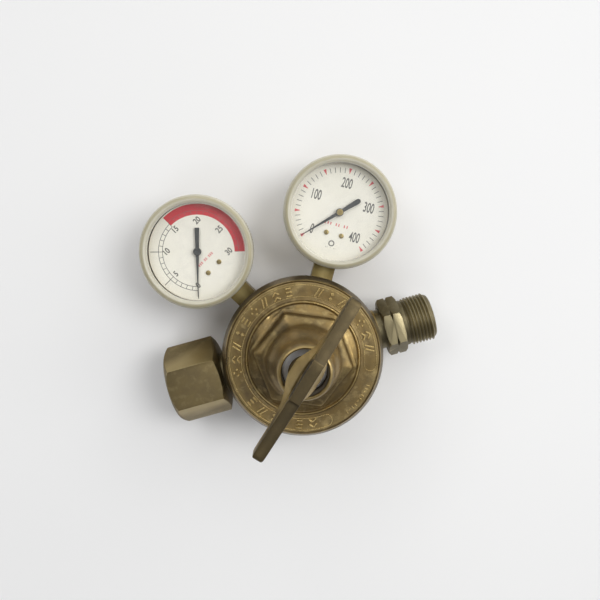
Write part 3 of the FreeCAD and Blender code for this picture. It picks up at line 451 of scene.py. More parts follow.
# Painted shade: dull darkens the handle towards its top faces.
HANDLE_BRASS = AgedBrass("aged_handle_brass_painted_shade", (0.27, 0.19, 0.075), (0.50, 0.37, 0.15),
                         (0.045, 0.038, 0.027), 0.42, 0.7, dull=(116.0, 121.0))
BODY_BRASS = AgedBrass("aged_body_brass", (0.26, 0.18, 0.07), (0.48, 0.36, 0.15),
                       (0.10, 0.078, 0.048), 0.42, 0.6)
NUT_BRASS = AgedBrass("aged_nut_brass", (0.20, 0.15, 0.065), (0.42, 0.33, 0.16),
                      (0.10, 0.08, 0.05), 0.42, 0.6)
OUTLET_BRASS = AgedBrass("aged_outlet_brass", (0.155, 0.13, 0.072), (0.34, 0.29, 0.17),
                         (0.10, 0.085, 0.052), 0.42, 0.5)
STEM_BRASS = AgedBrass("aged_stem_brass", (0.25, 0.19, 0.07), (0.46, 0.37, 0.16),
                       (0.11, 0.085, 0.04), 0.38, 0.5)
CASE_BRASS = AgedBrass("drawn_case_brass", (0.36, 0.275, 0.12), (0.56, 0.44, 0.21),
                       (0.17, 0.13, 0.065), 0.3, 0.55, 0.12)
INNER_BRASS = PlainMetal("clean_brass", (0.72, 0.55, 0.27), (0.60, 0.45, 0.20))
STEEL = PlainMetal("plated_steel", (0.55, 0.54, 0.51), (0.40, 0.39, 0.37))
SPRING_STEEL = PlainMetal("spring_steel", (0.34, 0.34, 0.35), (0.22, 0.22, 0.23), 0.34)
# Painted highlight: near white and almost non-metallic, standing in for the bright reflection on the
# bushing's polished face.
BUSHING_WHITE_HIGHLIGHT = PlainMetal("bushing_painted_highlight", (0.98, 0.98, 0.98), (0.93, 0.93, 0.92), 0.3, 0.05)
BRONZE = PlainMetal("sintered_bronze", (0.42, 0.30, 0.17), (0.30, 0.21, 0.12), 0.6)
RUBBER = Moulded("fabric_rubber", (0.05, 0.05, 0.05), (0.08, 0.08, 0.08), 0.7, 0.4)
SEAT_PLASTIC = Moulded("seat_plastic", (0.84, 0.83, 0.78), (0.76, 0.75, 0.68), 0.45)
DIAL_PAINT = Moulded("cream_dial_paint", (0.87, 0.85, 0.76), (0.81, 0.79, 0.69), 0.5, 0.04,
                     500.0, 0.6)
NEEDLE_PAINT = Moulded("needle_paint", (0.035, 0.04, 0.042), (0.08, 0.08, 0.08), 0.42)


def both(*names: str) -> tuple[str, ...]:
    """Names of a gauge's nodes, for the delivery and the supply gauge."""
    return tuple(f"{side}_{name}" for name in names for side in ("delivery", "supply"))


CARRIED_OVER: dict[Finish, tuple[str, ...]] = {
    BODY_BRASS: ("body", "rear_cap"),
    OUTLET_BRASS: ("inlet_nipple",),
    STEM_BRASS: both("gauge_socket"),
    CASE_BRASS: both("gauge_case"),
    INNER_BRASS: ("slip_ring", "diaphragm_plate", "diaphragm_stud", "diaphragm_nut",
                  "delivery_nozzle", "delivery_poppet", "first_stage_plate",
                  "first_stage_nozzle", "first_stage_poppet",
                  *both("bourdon_tube", "movement", "sector")),
    STEEL: ("spring_button", "first_stage_spring_seat"),
    SPRING_STEEL: ("first_stage_poppet_spring",),
    SEAT_PLASTIC: ("delivery_seat", "first_stage_seat"),
    BRONZE: ("inlet_filter",),
}


# ------------------------------------------------------------------------- modelling moves


def deselect() -> None:
    """Leave edit mode and select nothing."""
    if bpy.context.object and bpy.context.object.mode != "OBJECT":
        bpy.ops.object.mode_set(mode="OBJECT")
    bpy.ops.object.select_all(action="DESELECT")


def pick(*pieces: bpy.types.Object) -> None:
    """Select pieces, and make the first one active."""
    deselect()
    for piece in pieces:
        piece.select_set(True)
    bpy.context.view_layer.objects.active = pieces[0]


def made(name: str) -> bpy.types.Object:
    """The piece that an operator has just left active, under its name."""
    piece = bpy.context.object
    piece.name = name
    return piece


def enter_edit() -> None:
    """Edit the active piece with all of it selected."""
    bpy.ops.object.mode_set(mode="EDIT")
    bpy.ops.mesh.select_mode(type="EDGE")
    bpy.ops.mesh.select_all(action="SELECT")


def close_up(ring: bool = False) -> None:
    """Close the open ends of the mesh being edited, and point its faces outwards.

    Args:
        ring: Whether the two open ends are joined to each other instead of being capped.
    """
    if ring:
        bpy.ops.mesh.select_all(action="DESELECT")
        bpy.ops.mesh.select_non_manifold()
        bpy.ops.mesh.bridge_edge_loops()
    else:
        bpy.ops.mesh.select_all(action="SELECT")
        bpy.ops.mesh.fill_holes(sides=0)
    bpy.ops.mesh.select_all(action="SELECT")
    bpy.ops.mesh.normals_make_consistent(inside=False)
    bpy.ops.object.mode_set(mode="OBJECT")


def settle(piece: bpy.types.Object) -> None:
    """Move a piece's place, turn and scale into its mesh."""
    pick(piece)
    bpy.ops.object.transform_apply(location=True, rotation=True, scale=True)


def section(name: str, centre: Point, width: float, height: float) -> bpy.types.Object:
    """Open rectangle across Y, left in edit mode to be swept.

    Args:
        name: The piece's name.
        centre: Its middle.
        width: Width along X.
        height: Height along Z.

    Returns:
        The rectangle's edges.
    """
    deselect()
    bpy.ops.mesh.primitive_plane_add(size=1, location=tuple(v * MM for v in centre),
                                     rotation=(QUARTER, 0, 0))
    piece = made(name)
    piece.scale = (width * MM, height * MM, 1)
    settle(piece)
    enter_edit()
    bpy.ops.mesh.delete(type="ONLY_FACE")
    bpy.ops.mesh.select_all(action="SELECT")
    return piece


def turned(name: str, outline: Outline, segments: int = 96,
           ring: bool = False) -> bpy.types.Object:
    """Turn an outline about Z by drawing one circle out from corner to corner.

    Args:
        name: The piece's name.
        outline: Corners as (radius, height).
        segments: Points round the circle.
        ring: Whether the outline comes back to its start round a hole.

    Returns:
        The closed piece.
    """
    deselect()
    radius, height = outline[0]
    bpy.ops.mesh.primitive_circle_add(vertices=segments, radius=radius * MM,
                                      location=(0, 0, height * MM))
    piece = made(name)
    enter_edit()
    for (near, low), (far, high) in pairwise(outline):
        bpy.ops.mesh.extrude_region_move(
            TRANSFORM_OT_translate={"value": (0, 0, (high - low) * MM)})
        share = far / near
        bpy.ops.transform.resize(value=(share, share, 1), center_override=(0, 0, high * MM))
    close_up(ring)
    settle(piece)
    return piece


def drawn_bar(name: str, stations: Sequence[Station]) -> bpy.types.Object:
    """Draw a square section out along Y from station to station.

    Args:
        name: The piece's name.
        stations: Each (place along Y, half width, underside, top).

    Returns:
        The closed bar.
    """
    along, half, low, high = stations[0]
    piece = section(name, (0, along, (low + high) / 2), 2 * half, high - low)
    for (y0, w0, a0, b0), (y1, w1, a1, b1) in pairwise(stations):
        rise = (a1 + b1 - a0 - b0) / 2
        bpy.ops.mesh.extrude_region_move(
            TRANSFORM_OT_translate={"value": (0, (y1 - y0) * MM, rise * MM)})
        bpy.ops.transform.resize(value=(w1 / w0, 1, (b1 - a1) / (b0 - a0)),
                                 center_override=(0, y1 * MM, (a1 + b1) / 2 * MM))
    close_up()
    return piece


def mirrored(half: Sequence[Station]) -> list[Station]:
    """Stations of a bar, from those of its half at positive Y."""
    return list(half) + [(-along, *rest) for along, *rest in reversed(half)]


def hexagon_bar(name: str, flats: float, low: float, high: float) -> bpy.types.Object:
    """Stretch of hexagon bar along Z.

    Args:
        name: The piece's name.
        flats: Width across flats.
        low: Lower end.
        high: Upper end.

    Returns:
        The bar.
    """
    deselect()
    bpy.ops.mesh.primitive_cylinder_add(
        vertices=6, radius=flats / 2 / math.cos(math.pi / 6) * MM, depth=(high - low) * MM,
        location=(0, 0, (low + high) / 2 * MM))
    piece = made(name)
    settle(piece)
    return piece


def combine(piece: bpy.types.Object, tool: bpy.types.Object, operation: str) -> None:
    """Join, cut or trim a piece with a tool, which is used up.

    Args:
        piece: The piece that is kept.
        tool: The other solid.
        operation: UNION, DIFFERENCE or INTERSECT.
    """
    pick(piece)
    step = piece.modifiers.new("Combine", "BOOLEAN")
    step.object = tool
    step.operation = operation
    step.solver = "EXACT"
    bpy.ops.object.modifier_apply(modifier=step.name)
    bpy.data.objects.remove(tool)


def soften(piece: bpy.types.Object, width: float, segments: int = 2, angle: float = 30.0) -> None:
    """Bevel every edge sharper than an angle.

    Args:
        piece: The piece.
        width: Bevel width.
        segments: Facets across the bevel.
        angle: Least angle between the faces, in degrees.
    """
    pick(piece)
    step = piece.modifiers.new("Soften", "BEVEL")
    step.width = width * MM
    step.segments = segments
    step.limit_method = "ANGLE"
    step.angle_limit = math.radians(angle)
    bpy.ops.object.modifier_apply(modifier=step.name)


def reshape(piece: bpy.types.Object, move: Callable[[Vector], Vector]) -> None:
    """Push every point of a mesh to a new place.

    Args:
        piece: The piece.
        move: Gives the new place of a point; both are in millimetres.
    """
    for vertex in piece.data.vertices:
        vertex.co = move(vertex.co / MM) * MM
    piece.data.update()


def gather(name: str, pieces: Sequence[bpy.types.Object]) -> bpy.types.Object:
    """Join pieces into one mesh under one name."""
    pick(*pieces)
    if len(pieces) > 1:
        bpy.ops.object.join()
    return made(name)


def about_z(angle: float) -> Matrix:
    """Turn about Z by an angle in degrees."""
    return Matrix.Rotation(math.radians(angle), 4, "Z")


def copy_at(piece: bpy.types.Object, place: Matrix) -> bpy.types.Object:
    """Copy of a piece with its own mesh, moved by a matrix in metres."""
    twin = piece.copy()
    twin.data = piece.data.copy()
    bpy.context.scene.collection.objects.link(twin)
    twin.data.transform(place)
    return twin


def turned_copies(name: str, piece: bpy.types.Object, angles: Iterable[float]) -> bpy.types.Object:
    """Copies of a piece turned about Z, joined; the pattern piece is used up.

    Args:
        name: Name of the joined piece.
        piece: The pattern.
        angles: Turns in degrees.

    Returns:
        The joined copies.
    """
    twins = [copy_at(piece, about_z(angle)) for angle in angles]
    bpy.data.objects.remove(piece)
    return gather(name, twins)


def block(name: str, centre: Point, size: Point, turn: float = 0.0,
          bevel: float = 0.0) -> bpy.types.Object:
    """Small bevelled bar, the stroke that marks are built of.

    Args:
        name: The piece's name.
        centre: Its middle.
        size: Width, length and height.
        turn: Turn about Z in degrees.
        bevel: Width of the bevelled edges.

    Returns:
        The bar.
    """
    deselect()
    bpy.ops.mesh.primitive_cube_add(size=1, location=tuple(v * MM for v in centre),
                                    rotation=(0, 0, math.radians(turn)),
                                    scale=tuple(v * MM for v in size))
    piece = made(name)
    settle(piece)
    if bevel:
        soften(piece, bevel, 1)
    return piece


ARC_STEPS = 8  # fewest facets of an arc
ARC_STEP = 2.5  # turn of one facet, in degrees


def arc_band(name: str, inner: float, outer: float, start: float, sweep: float, low: float,
             high: float) -> bpy.types.Object:
    """Flat band swept round Z, counted anticlockwise in degrees from +X.

    Args:
        name: The piece's name.
        inner: Inner radius.
        outer: Outer radius.
        start: Where it begins.
        sweep: How far it runs.
        low: Underside.
        high: Top.

    Returns:
        The closed band.
    """
    piece = section(name, ((inner + outer) / 2, 0, (low + high) / 2), outer - inner, high - low)
    steps = max(ARC_STEPS, round(abs(sweep) / ARC_STEP))
    bpy.ops.mesh.spin(steps=steps, angle=-math.radians(sweep), center=(0, 0, 0), axis=(0, 0, 1),
                      dupli=False)
    close_up()
    piece.rotation_euler.z = math.radians(start)
    settle(piece)
    return piece


@dataclass(frozen=True)
class Thread:
    """Size of a thread about Z.

    Args:
        foot: Radius of the buried foot; larger than the crest for an inside thread.
        crest: Radius of the crest.
        pitch: Pitch.
        low: Start.
        high: End.
        chamfer: Length over which the crest sinks at the high end.
    """

    foot: float
    crest: float
    pitch: float
    low: float
    high: float
    chamfer: float = 1.0
    crest_half: float = 0.07  # half the flat at the crest, as a share of the pitch
    foot_half: float = 0.47
    facets: int = 64  # to the turn
    stub: float = 0.25  # share of the crest left at the high end

    def tooth(self, point: Vector) -> Vector:
        """Turn a corner of the unit square into one of the tooth's section."""
        outward = point.x > 0
        half = self.crest_half if outward else self.foot_half
        level = self.low + self.pitch / 2 + math.copysign(half * self.pitch, point.z)
        return Vector((self.crest if outward else self.foot, 0, level))

    def fade(self, point: Vector) -> Vector:
        """Sink the crest towards the foot near both ends."""
        reach = math.hypot(point.x, point.y)
        rising = (point.z - self.low) / self.pitch
        ending = self.stub + (self.high - point.z) / self.chamfer * (1 - self.stub)
        keep = max(0.0, min(1.0, rising, ending))
        share = (self.foot + (reach - self.foot) * keep) / reach
        return Vector((point.x * share, point.y * share, point.z))

    def ridge(self) -> bpy.types.Object:
        """Closed ridge wound about Z, fading out at both ends."""
        piece = section("ridge", (0, 0, 0), 1, 1)
        bpy.ops.object.mode_set(mode="OBJECT")
        reshape(piece, self.tooth)
        turns = (self.high - self.low) / self.pitch - 1
        step = piece.modifiers.new("Wind", "SCREW")
        step.axis = "Z"
        step.angle = math.tau * turns
        step.screw_offset = self.pitch * turns * MM
        step.steps = step.render_steps = round(self.facets * turns)
        step.use_smooth_shade = False
        bpy.ops.object.modifier_apply(modifier=step.name)
        enter_edit()
        close_up()
        reshape(piece, self.fade)
        return piece


def figure(text: str, size: float, squeeze: float, centre: tuple[float, float],
           low: float, high: float, weight: float = 0.0) -> bpy.types.Object:
    """Printed number lying flat.

    Args:
        text: The digits.
        size: Size of the type.
        squeeze: Width of the digits as a share of the normal one.
        centre: Middle of the number.
        low: Underside of the print.
        high: Top of the print.
        weight: Thickening of the strokes.

    Returns:
        The print as a mesh.
    """
    deselect()
    bpy.ops.object.text_add()
    number = bpy.context.object
    number.data.body = text
    number.data.size = size * MM
    number.data.align_x = "CENTER"
    number.data.align_y = "CENTER"
    number.data.offset = weight * MM
    number.data.extrude = (high - low) / 2 * MM
    number.data.resolution_u = 6  # facets of a curved stroke
    bpy.ops.object.convert(target="MESH")
    number = bpy.context.object
    number.scale.x = squeeze
    number.location = (centre[0] * MM, centre[1] * MM, (low + high) / 2 * MM)
    settle(number)
    return number


def along_x(piece: bpy.types.Object, way: int = 1) -> None:
    """Lay a piece modelled about Z along X at the port level.

    Args:
        piece: The piece.
        way: 1 points it towards +X, -1 towards -X.
    """
    piece.rotation_euler = (0, way * QUARTER, 0)
    piece.location = (0, 0, PORT_LEVEL * MM)
    settle(piece)


def deliver(piece: bpy.types.Object, body: str, finish: Finish,
            replaces: Sequence[str] = (), angle: float = 32.0) -> None:
    """Shade and dress a finished piece, and hang it on its CAD body.

    Args:
        piece: The piece, in place.
        body: Name of the CAD body that it rides on.
        finish: What it wears.
        replaces: CAD nodes that it stands for.
        angle: Edges sharper than this stay crisp, in degrees.
    """
    settle(piece)
    bpy.ops.object.shade_smooth_by_angle(angle=math.radians(angle))
    piece.data.materials.clear()
    piece.data.materials.append(finish.material())
    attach(piece, body)
    if replaces:
        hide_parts(*replaces)
    LOG.info("%s: %d faces", piece.name, len(piece.data.polygons))


def flowing(outline: Sequence[Point], steps: int) -> list[tuple[float, ...]]:
    """Points on a smooth curve through the corners of an outline.

    Args:
        outline: Corners as (radius, height, share of hexagon).
        steps: Points for each stretch.

    Returns:
        The points, corners among them.
    """
    corners = [Vector(corner) for corner in outline]
    result = []
    padded = [corners[0], *corners, corners[-1]]
    for before, start, end, after in zip(padded, padded[1:], padded[2:], padded[3:]):
        for step in range(steps):
            t = step / steps
            point = 0.5 * (2 * start + (end - before) * t
                           + (2 * before - 5 * start + 4 * end - after) * t ** 2
                           + (3 * start - before - 3 * end + after) * t ** 3)
            result.append(tuple(point))
    result.append(tuple(corners[-1]))
    return result


# ------------------------------------------------------------------------- sub-assemblies


@dataclass
class Bonnet:
    """Screwed bonnet with its raised marks and the bushing inside its boss, coloured near white as a
    painted highlight.
    """

    segments: int = 216
    flow_steps: int = 3
    hex_turn: float = 6.0
    side_turn: float = 60.0
    band_top: float = 54.0
    mark_reach: float = 39.9
    mark_height: float = 5.6
    corner_limit: float = 1.139  # reach of the rounded corners over the flats
    stroke: float = 0.95
    rise: float = 0.75
    sunk: float = 0.1  # how deep the marks reach into the band
    pip_level: float = 0.1
    line_half: float = 0.17
    line_rise: float = 0.35
    cartouche: tuple[float, float] = (36.6, 43.6)
    cartouche_start: float = -21.5
    cartouche_sweep: float = 296.5
    groups: tuple[tuple[float, float, int], ...] = (
        (-97.0, -11.5, 6), (177.2, -11.3, 9), (61.3, -11.4, 7))
    code_start: float = -38.8
    code_step: float = -3.1
    code_count: int = 10
    code_reach: float = 42.2
    order: tuple[int, ...] = (2, 1, 3, 0, 3, 1, 4, 2, 3, 0, 1, 4, 3)
    lobe_radii: tuple[float, float] = (14.9, 31.0)
    lobe_levels: tuple[float, float] = (56.0, 99.0)
    lobe_fades: tuple[float, float] = (6.0, 8.0)
    lower: Outline = (
        (48.6, 42.3), (48.6, 48.5), (48.35, 49.3), (46.35, 53.2), (46.0, 53.75), (45.75, 53.45),
        (45.45, 53.35), (45.1, 53.8), (44.7, 54.0), (40.0, 54.0), (35.2, 54.0), (34.6, 54.1),
        (34.2, 54.7), (33.8, 55.15), (33.3, 55.2), (32.8, 54.9), (32.4, 54.55))
    forged: tuple[Point, ...] = (
        (32.0, 54.5, 0.0), (30.9, 55.0, 0.1), (29.6, 55.5, 0.45), (28.6, 55.9, 0.75),
        (27.4, 56.3, 0.95), (26.3, 57.0, 1.0), (25.75, 58.4, 1.0), (25.6, 60.5, 1.0),
        (25.4, 62.2, 1.0), (24.7, 63.3, 0.98), (23.6, 63.9, 0.9), (22.6, 64.5, 0.75),
        (21.9, 65.3, 0.55), (21.3, 66.6, 0.38), (20.9, 68.6, 0.28), (20.8, 71.0, 0.2),
        (20.7, 73.6, 0.14), (20.3, 76.4, 0.08), (19.4, 79.4, 0.04), (18.3, 82.0, 0.0),
        (17.2, 84.6, 0.0), (16.4, 87.6, 0.0), (16.0, 91.0, 0.0), (15.75, 94.6, 0.0),
        (15.5, 97.6, 0.0), (15.15, 99.6, 0.0), (14.6, 100.8, 0.0))
    upper: Outline = (
        (14.1, 101.3), (13.5, 101.5), (13.05, 101.35), (12.75, 100.9), (12.6, 100.2),
        (12.6, 88.05), (10.05, 88.05), (10.05, 84.0), (14.5, 84.0), (14.5, 63.0), (22.0, 57.0),
        (25.6, 51.0), (37.0, 51.0), (37.0, 50.45), (44.8, 50.45), (44.8, 41.3), (47.6, 41.3),
        (48.3, 41.6))

    def hex_reach(self, angle: float, flat: float) -> float:
        """Reach of a hexagon with softly rounded corners.

        Args:
            angle: Direction in degrees.
            flat: Half the width across flats.

        Returns:
            Distance from the axis.
        """
        half = self.side_turn / 2
        off = (angle - self.hex_turn + half) % self.side_turn - half
        sharp = 1 / math.cos(math.radians(off))
        return flat * min(sharp, self.corner_limit)

    def lobe(self, reach: float, level: float, turn: float) -> float:
        """How far the uneven forging stands out at a point of the bell.

        Args:
            reach: Distance from the axis.
            level: Height.
            turn: Direction in radians.

        Returns:
            The bulge, which fades out towards the ends of the bell.
        """
        inner, outer = self.lobe_radii
        low, high = self.lobe_levels
        if not (inner < reach < outer and low < level < high):
            return 0.0
        rising, falling = self.lobe_fades
        fade = min(1.0, (level - low) / rising, (high - level) / falling)
        return fade * (0.28 * math.sin(2 * turn + level * 0.11)
                       + 0.16 * math.sin(3 * turn - level * 0.23 + 1.3))

    def shell(self) -> bpy.types.Object:
        """Turn the bonnet and press its hexagon and soft forged lobes into it."""
        plain_low, plain_high = ([(r, z, 0.0) for r, z in part] for part in (self.lower,
                                                                             self.upper))
        rings = plain_low + flowing(self.forged, self.flow_steps) + plain_high
        shares = {(round(r, 2), round(z, 2)): share for r, z, share in rings}
        piece = turned("bonnet_shell", [(r, z) for r, z, _ in rings], self.segments, ring=True)

        def press(point: Vector) -> Vector:
            """Move a point of the turned blank onto the forged surface."""
            reach = math.hypot(point.x, point.y)
            share = shares.get((round(reach, 2), round(point.z, 2)), 0.0)
            angle = math.degrees(math.atan2(point.y, point.x))
            wanted = reach + (self.hex_reach(angle, reach) - reach) * share
            scale = (wanted + self.lobe(reach, point.z, math.radians(angle))) / reach
            return Vector((point.x * scale, point.y * scale, point.z))

        reshape(piece, press)
        return piece

    def stroke_bar(self, x: float, y: float, length: float, turn: float = 0.0,
                   width: float | None = None) -> bpy.types.Object:
        """One raised stroke at a place on the band's patch at the top of the circle."""
        middle = self.band_top + (self.rise - self.sunk) / 2
        return block("stroke", (x, self.mark_reach + y, middle),
                     (width or self.stroke, length, self.rise + self.sunk), turn, 0.2)

    def motifs(self) -> list[bpy.types.Object]:
        """Plain raised motifs: lozenges, level strokes, chevrons, slanted strokes and pips."""
        tall = self.mark_height
        lozenge = [self.stroke_bar(0, step, 1.8, 45.0, 1.8) for step in (-1.45, 1.45)]
        levels = [self.stroke_bar(0, step, 3.6, 90.0) for step in (-2.2, 0.0, 2.2)]
        chevrons = [self.stroke_bar(side * 1.1, step, 3.0, side * 50.0)
                    for step in (-1.7, 1.3) for side in (-1, 1)]
        slants = [self.stroke_bar(step, 0, tall, -22.0) for step in (-1.15, 1.15)]
        pips = [self.stroke_bar(x, y, 1.3, 45.0, 1.3)
                for x, y in ((0, 2.1), (-1.7, 0), (1.7, 0), (0, -2.1))]
        return [gather("motif", group) for group in (lozenge, levels, chevrons, slants, pips)]

    def marks(self) -> bpy.types.Object:
        """Raised marks round the band: rows of motifs inside a round-ended outline, and pips."""
        patterns = self.motifs()
        places = [start + step * index for start, step, count in self.groups
                  for index in range(count)]
        raised = [copy_at(patterns[self.order[number % len(self.order)]], about_z(place - 90.0))
                  for number, place in enumerate(places)]
        for pattern in patterns:
            bpy.data.objects.remove(pattern)
        inner, outer = self.cartouche
        low, high = self.band_top - self.sunk, self.band_top + self.line_rise
        for reach in self.cartouche:
            raised.append(arc_band("outline", reach - self.line_half, reach + self.line_half,
                                   self.cartouche_start, self.cartouche_sweep, low, high))
        half = (outer - inner) / 2
        cap = arc_band("outline", half - self.line_half, half + self.line_half, -90.0, 180.0,
                       low, high)
        middle = Matrix.Translation(((inner + outer) / 2 * MM, 0, 0))
        end = self.cartouche_start + self.cartouche_sweep
        for angle, flip in ((self.cartouche_start, -90.0), (end, 90.0)):
            raised.append(copy_at(cap, about_z(angle) @ middle @ about_z(flip)))
        level = self.band_top + self.pip_level
        pip = block("pip", (0, self.code_reach, level), (0.55, 2.0, 0.5), 0, 0.12)
        low_pip = block("pip", (0, self.code_reach - 0.4, level), (1.2, 0.6, 0.5), 0, 0.12)
        for index in range(self.code_count):
            place = self.code_start + self.code_step * index
            pattern = low_pip if index % 3 == 2 else pip
            raised.append(copy_at(pattern, about_z(place - 90.0)))
        for pattern in (cap, pip, low_pip):
            bpy.data.objects.remove(pattern)
        return gather("bonnet_raised_marks", raised)

    def bushing(self) -> bpy.types.Object:
        """Bushing with a dished face and a rounded rim, on the floor of the recess; its near-white
        colour is a painted highlight.
        """
        outline = ((5.98, 84.0), (10.0, 84.0), (10.0, 88.0), (12.4, 88.0), (12.4, 89.2),
                   (12.25, 89.8), (11.8, 90.25), (11.1, 90.5), (10.0, 90.45), (8.6, 90.2),
                   (7.6, 90.15), (6.9, 90.0), (6.3, 89.5), (5.98, 88.9))
        return turned("bonnet_bright_bushing", outline, 120, ring=True)

    def build(self) -> None:
        """Model the bonnet and dress it."""
        deliver(self.shell(), "root", BONNET_BRASS, ["bonnet"], 24.0)
        deliver(self.marks(), "root", BONNET_BRASS)
        deliver(self.bushing(), "root", BUSHING_WHITE_HIGHLIGHT, ["bonnet_bushing"])


@dataclass
class Adjuster:
    """T-handle forging and the threaded adjusting screw under it."""

    turn: float = 42.6
    hub_base: float = 97.525
    screw_low: float = 83.0
    screw_thread: Thread = Thread(4.9, 5.88, 1.75, 83.8, 97.425)
    lean_low: float = 108.0
    lean_rise: float = 13.0
    lean_half: float = 2.95
    half: tuple[Station, ...] = (
        (47.5, 1.9, 115.9, 120.2), (47.0, 2.6, 114.6, 121.6), (45.9, 3.0, 113.5, 122.5),
        (44.2, 3.1, 113.1, 122.85), (30.0, 3.1, 112.6, 124.4), (17.0, 3.1, 111.6, 125.8),
        (13.4, 3.1, 110.3, 126.25), (12.0, 3.1, 109.7, 126.4), (11.5, 3.1, 109.5, 127.0),
        (6.4, 3.1, 108.2, 127.0))
    web: tuple[Station, ...] = (
        (30.0, 2.9, 113.4, 121.8), (23.0, 3.6, 112.8, 120.9), (17.0, 4.7, 112.0, 119.8),
        (12.0, 6.0, 109.8, 118.8), (8.0, 7.2, 108.0, 118.2), (4.0, 8.2, 105.6, 117.9))

    def handle(self) -> bpy.types.Object:
        """Bar with bevelled edges and dropped tips, joined to its round hub."""
        bar = drawn_bar("t_handle_forging", mirrored(self.half))
        soften(bar, 1.1, 2, 28.0)
        base = self.hub_base
        hub = turned("hub", ((4.0, base), (8.3, base), (9.0, base + 0.7), (9.1, base + 2.4),
                             (9.0, base + 4.0), (8.5, base + 6.8), (7.5, base + 10.2),
                             (6.2, base + 14.0), (4.6, base + 17.6), (3.1, base + 20.4),
                             (2.2, base + 23.0)), 96)
        web = drawn_bar("web", mirrored(self.web))

        def taper(point: Vector) -> Vector:
            """Lean the web's sides in towards the bar."""
            lean = min(1.0, max(0.0, (point.z - self.lean_low) / self.lean_rise))
            narrow = self.lean_half / max(self.lean_half, abs(point.x))
            return Vector((point.x * (1 + (narrow - 1) * lean), point.y, point.z))

        reshape(web, taper)
        combine(hub, web, "UNION")
        combine(bar, hub, "UNION")
        bar.rotation_euler.z = math.radians(self.turn - 90.0)
        settle(bar)
        return bar

    def screw(self) -> bpy.types.Object:
        """Adjusting screw: core, domed tip and rolled thread."""
        low, top = self.screw_low, self.hub_base
        core = turned("core", ((2.0, low + 0.02), (4.7, low + 0.02), (5.0, low + 0.4),
                               (5.05, low + 1.2), (5.05, top - 0.2), (5.0, top + 0.1)), 64)
        return gather("adjusting_screw_thread", [core, self.screw_thread.ridge()])

    def build(self) -> None:
        """Model both and dress them."""
        deliver(self.handle(), "adjusting_screw", HANDLE_BRASS, ["t_handle"])
        deliver(self.screw(), "adjusting_screw", STEEL, ["adjusting_screw"])


@dataclass
class InletNut:
    """Loose hexagon nut with domed ends and an inside thread."""

    flats: float = 42.6
    blank: tuple[float, float] = (49.0, 87.0)
    thread: Thread = Thread(15.5, 15.02, 1.8, 74.8, 84.4)
    outline: Outline = (
        (9.3, 51.0), (18.8, 51.0), (20.4, 51.5), (24.9, 53.4), (24.9, 81.2), (22.2, 83.3),
        (20.0, 84.5), (18.6, 84.95), (17.4, 85.0), (16.4, 84.8), (15.6, 84.1), (15.3, 83.4),
        (15.3, 75.0), (16.2, 75.0), (16.2, 56.0), (9.3, 56.0))

    def build(self) -> None:
        """Trim hexagon bar with the turned outline, wind the thread and dress the nut."""
        nut = hexagon_bar("inlet_nut_shell", self.flats, *self.blank)
        combine(nut, turned("trim", self.outline, 144, ring=True), "INTERSECT")
        soften(nut, 0.35, 2, 38.0)
        nut = gather("inlet_nut_shell", [nut, self.thread.ridge()])
        along_x(nut, -1)
        deliver(nut, "inlet_nut", NUT_BRASS, ["inlet_nut"], 30.0)


@dataclass
class Outlet:
    """Outlet fitting: notched hexagon, collar and hose thread."""

    flats: float = 31.75
    blank: tuple[float, float] = (52.0, 66.0)
    thread: Thread = Thread(13.6, 15.1, 2.1, 67.2, 84.3, 1.2)
    trim: Outline = (
        (12.0, 53.0), (16.5, 53.0), (18.5, 54.3), (18.5, 58.0), (16.4, 59.0), (18.5, 60.0),
        (18.5, 63.7), (16.5, 65.0), (12.0, 65.0))
    core: Outline = (
        (5.0, 36.0), (10.0, 36.0), (10.0, 49.5), (12.5, 49.5), (12.5, 64.0), (14.5, 64.8),
        (14.5, 65.2), (14.3, 65.5), (14.3, 67.2), (14.0, 67.6), (13.75, 68.0), (13.75, 83.2),
        (13.3, 84.1), (12.7, 84.6), (9.6, 84.6), (9.0, 84.0), (9.0, 62.6), (5.0, 61.6))

    def build(self) -> None:
        """Model the fitting and dress it."""
        bar = hexagon_bar("hexagon", self.flats, *self.blank)
        combine(bar, turned("trim", self.trim, 144, ring=True), "INTERSECT")
        soften(bar, 0.3, 2, 38.0)
        core = turned("core", self.core, 96, ring=True)
        fitting = gather("outlet_fitting_shell", [bar, core, self.thread.ridge()])
        along_x(fitting)
        deliver(fitting, "root", OUTLET_BRASS, ["outlet_fitting"], 30.0)


ZERO_OFFSET = 1.6  # how much further out the figure 0 stands


class Scale(Enum):
    """The two printed scales: top value, and step from figure to figure."""

    DELIVERY = (30, 5)
    SUPPLY = (400, 100)


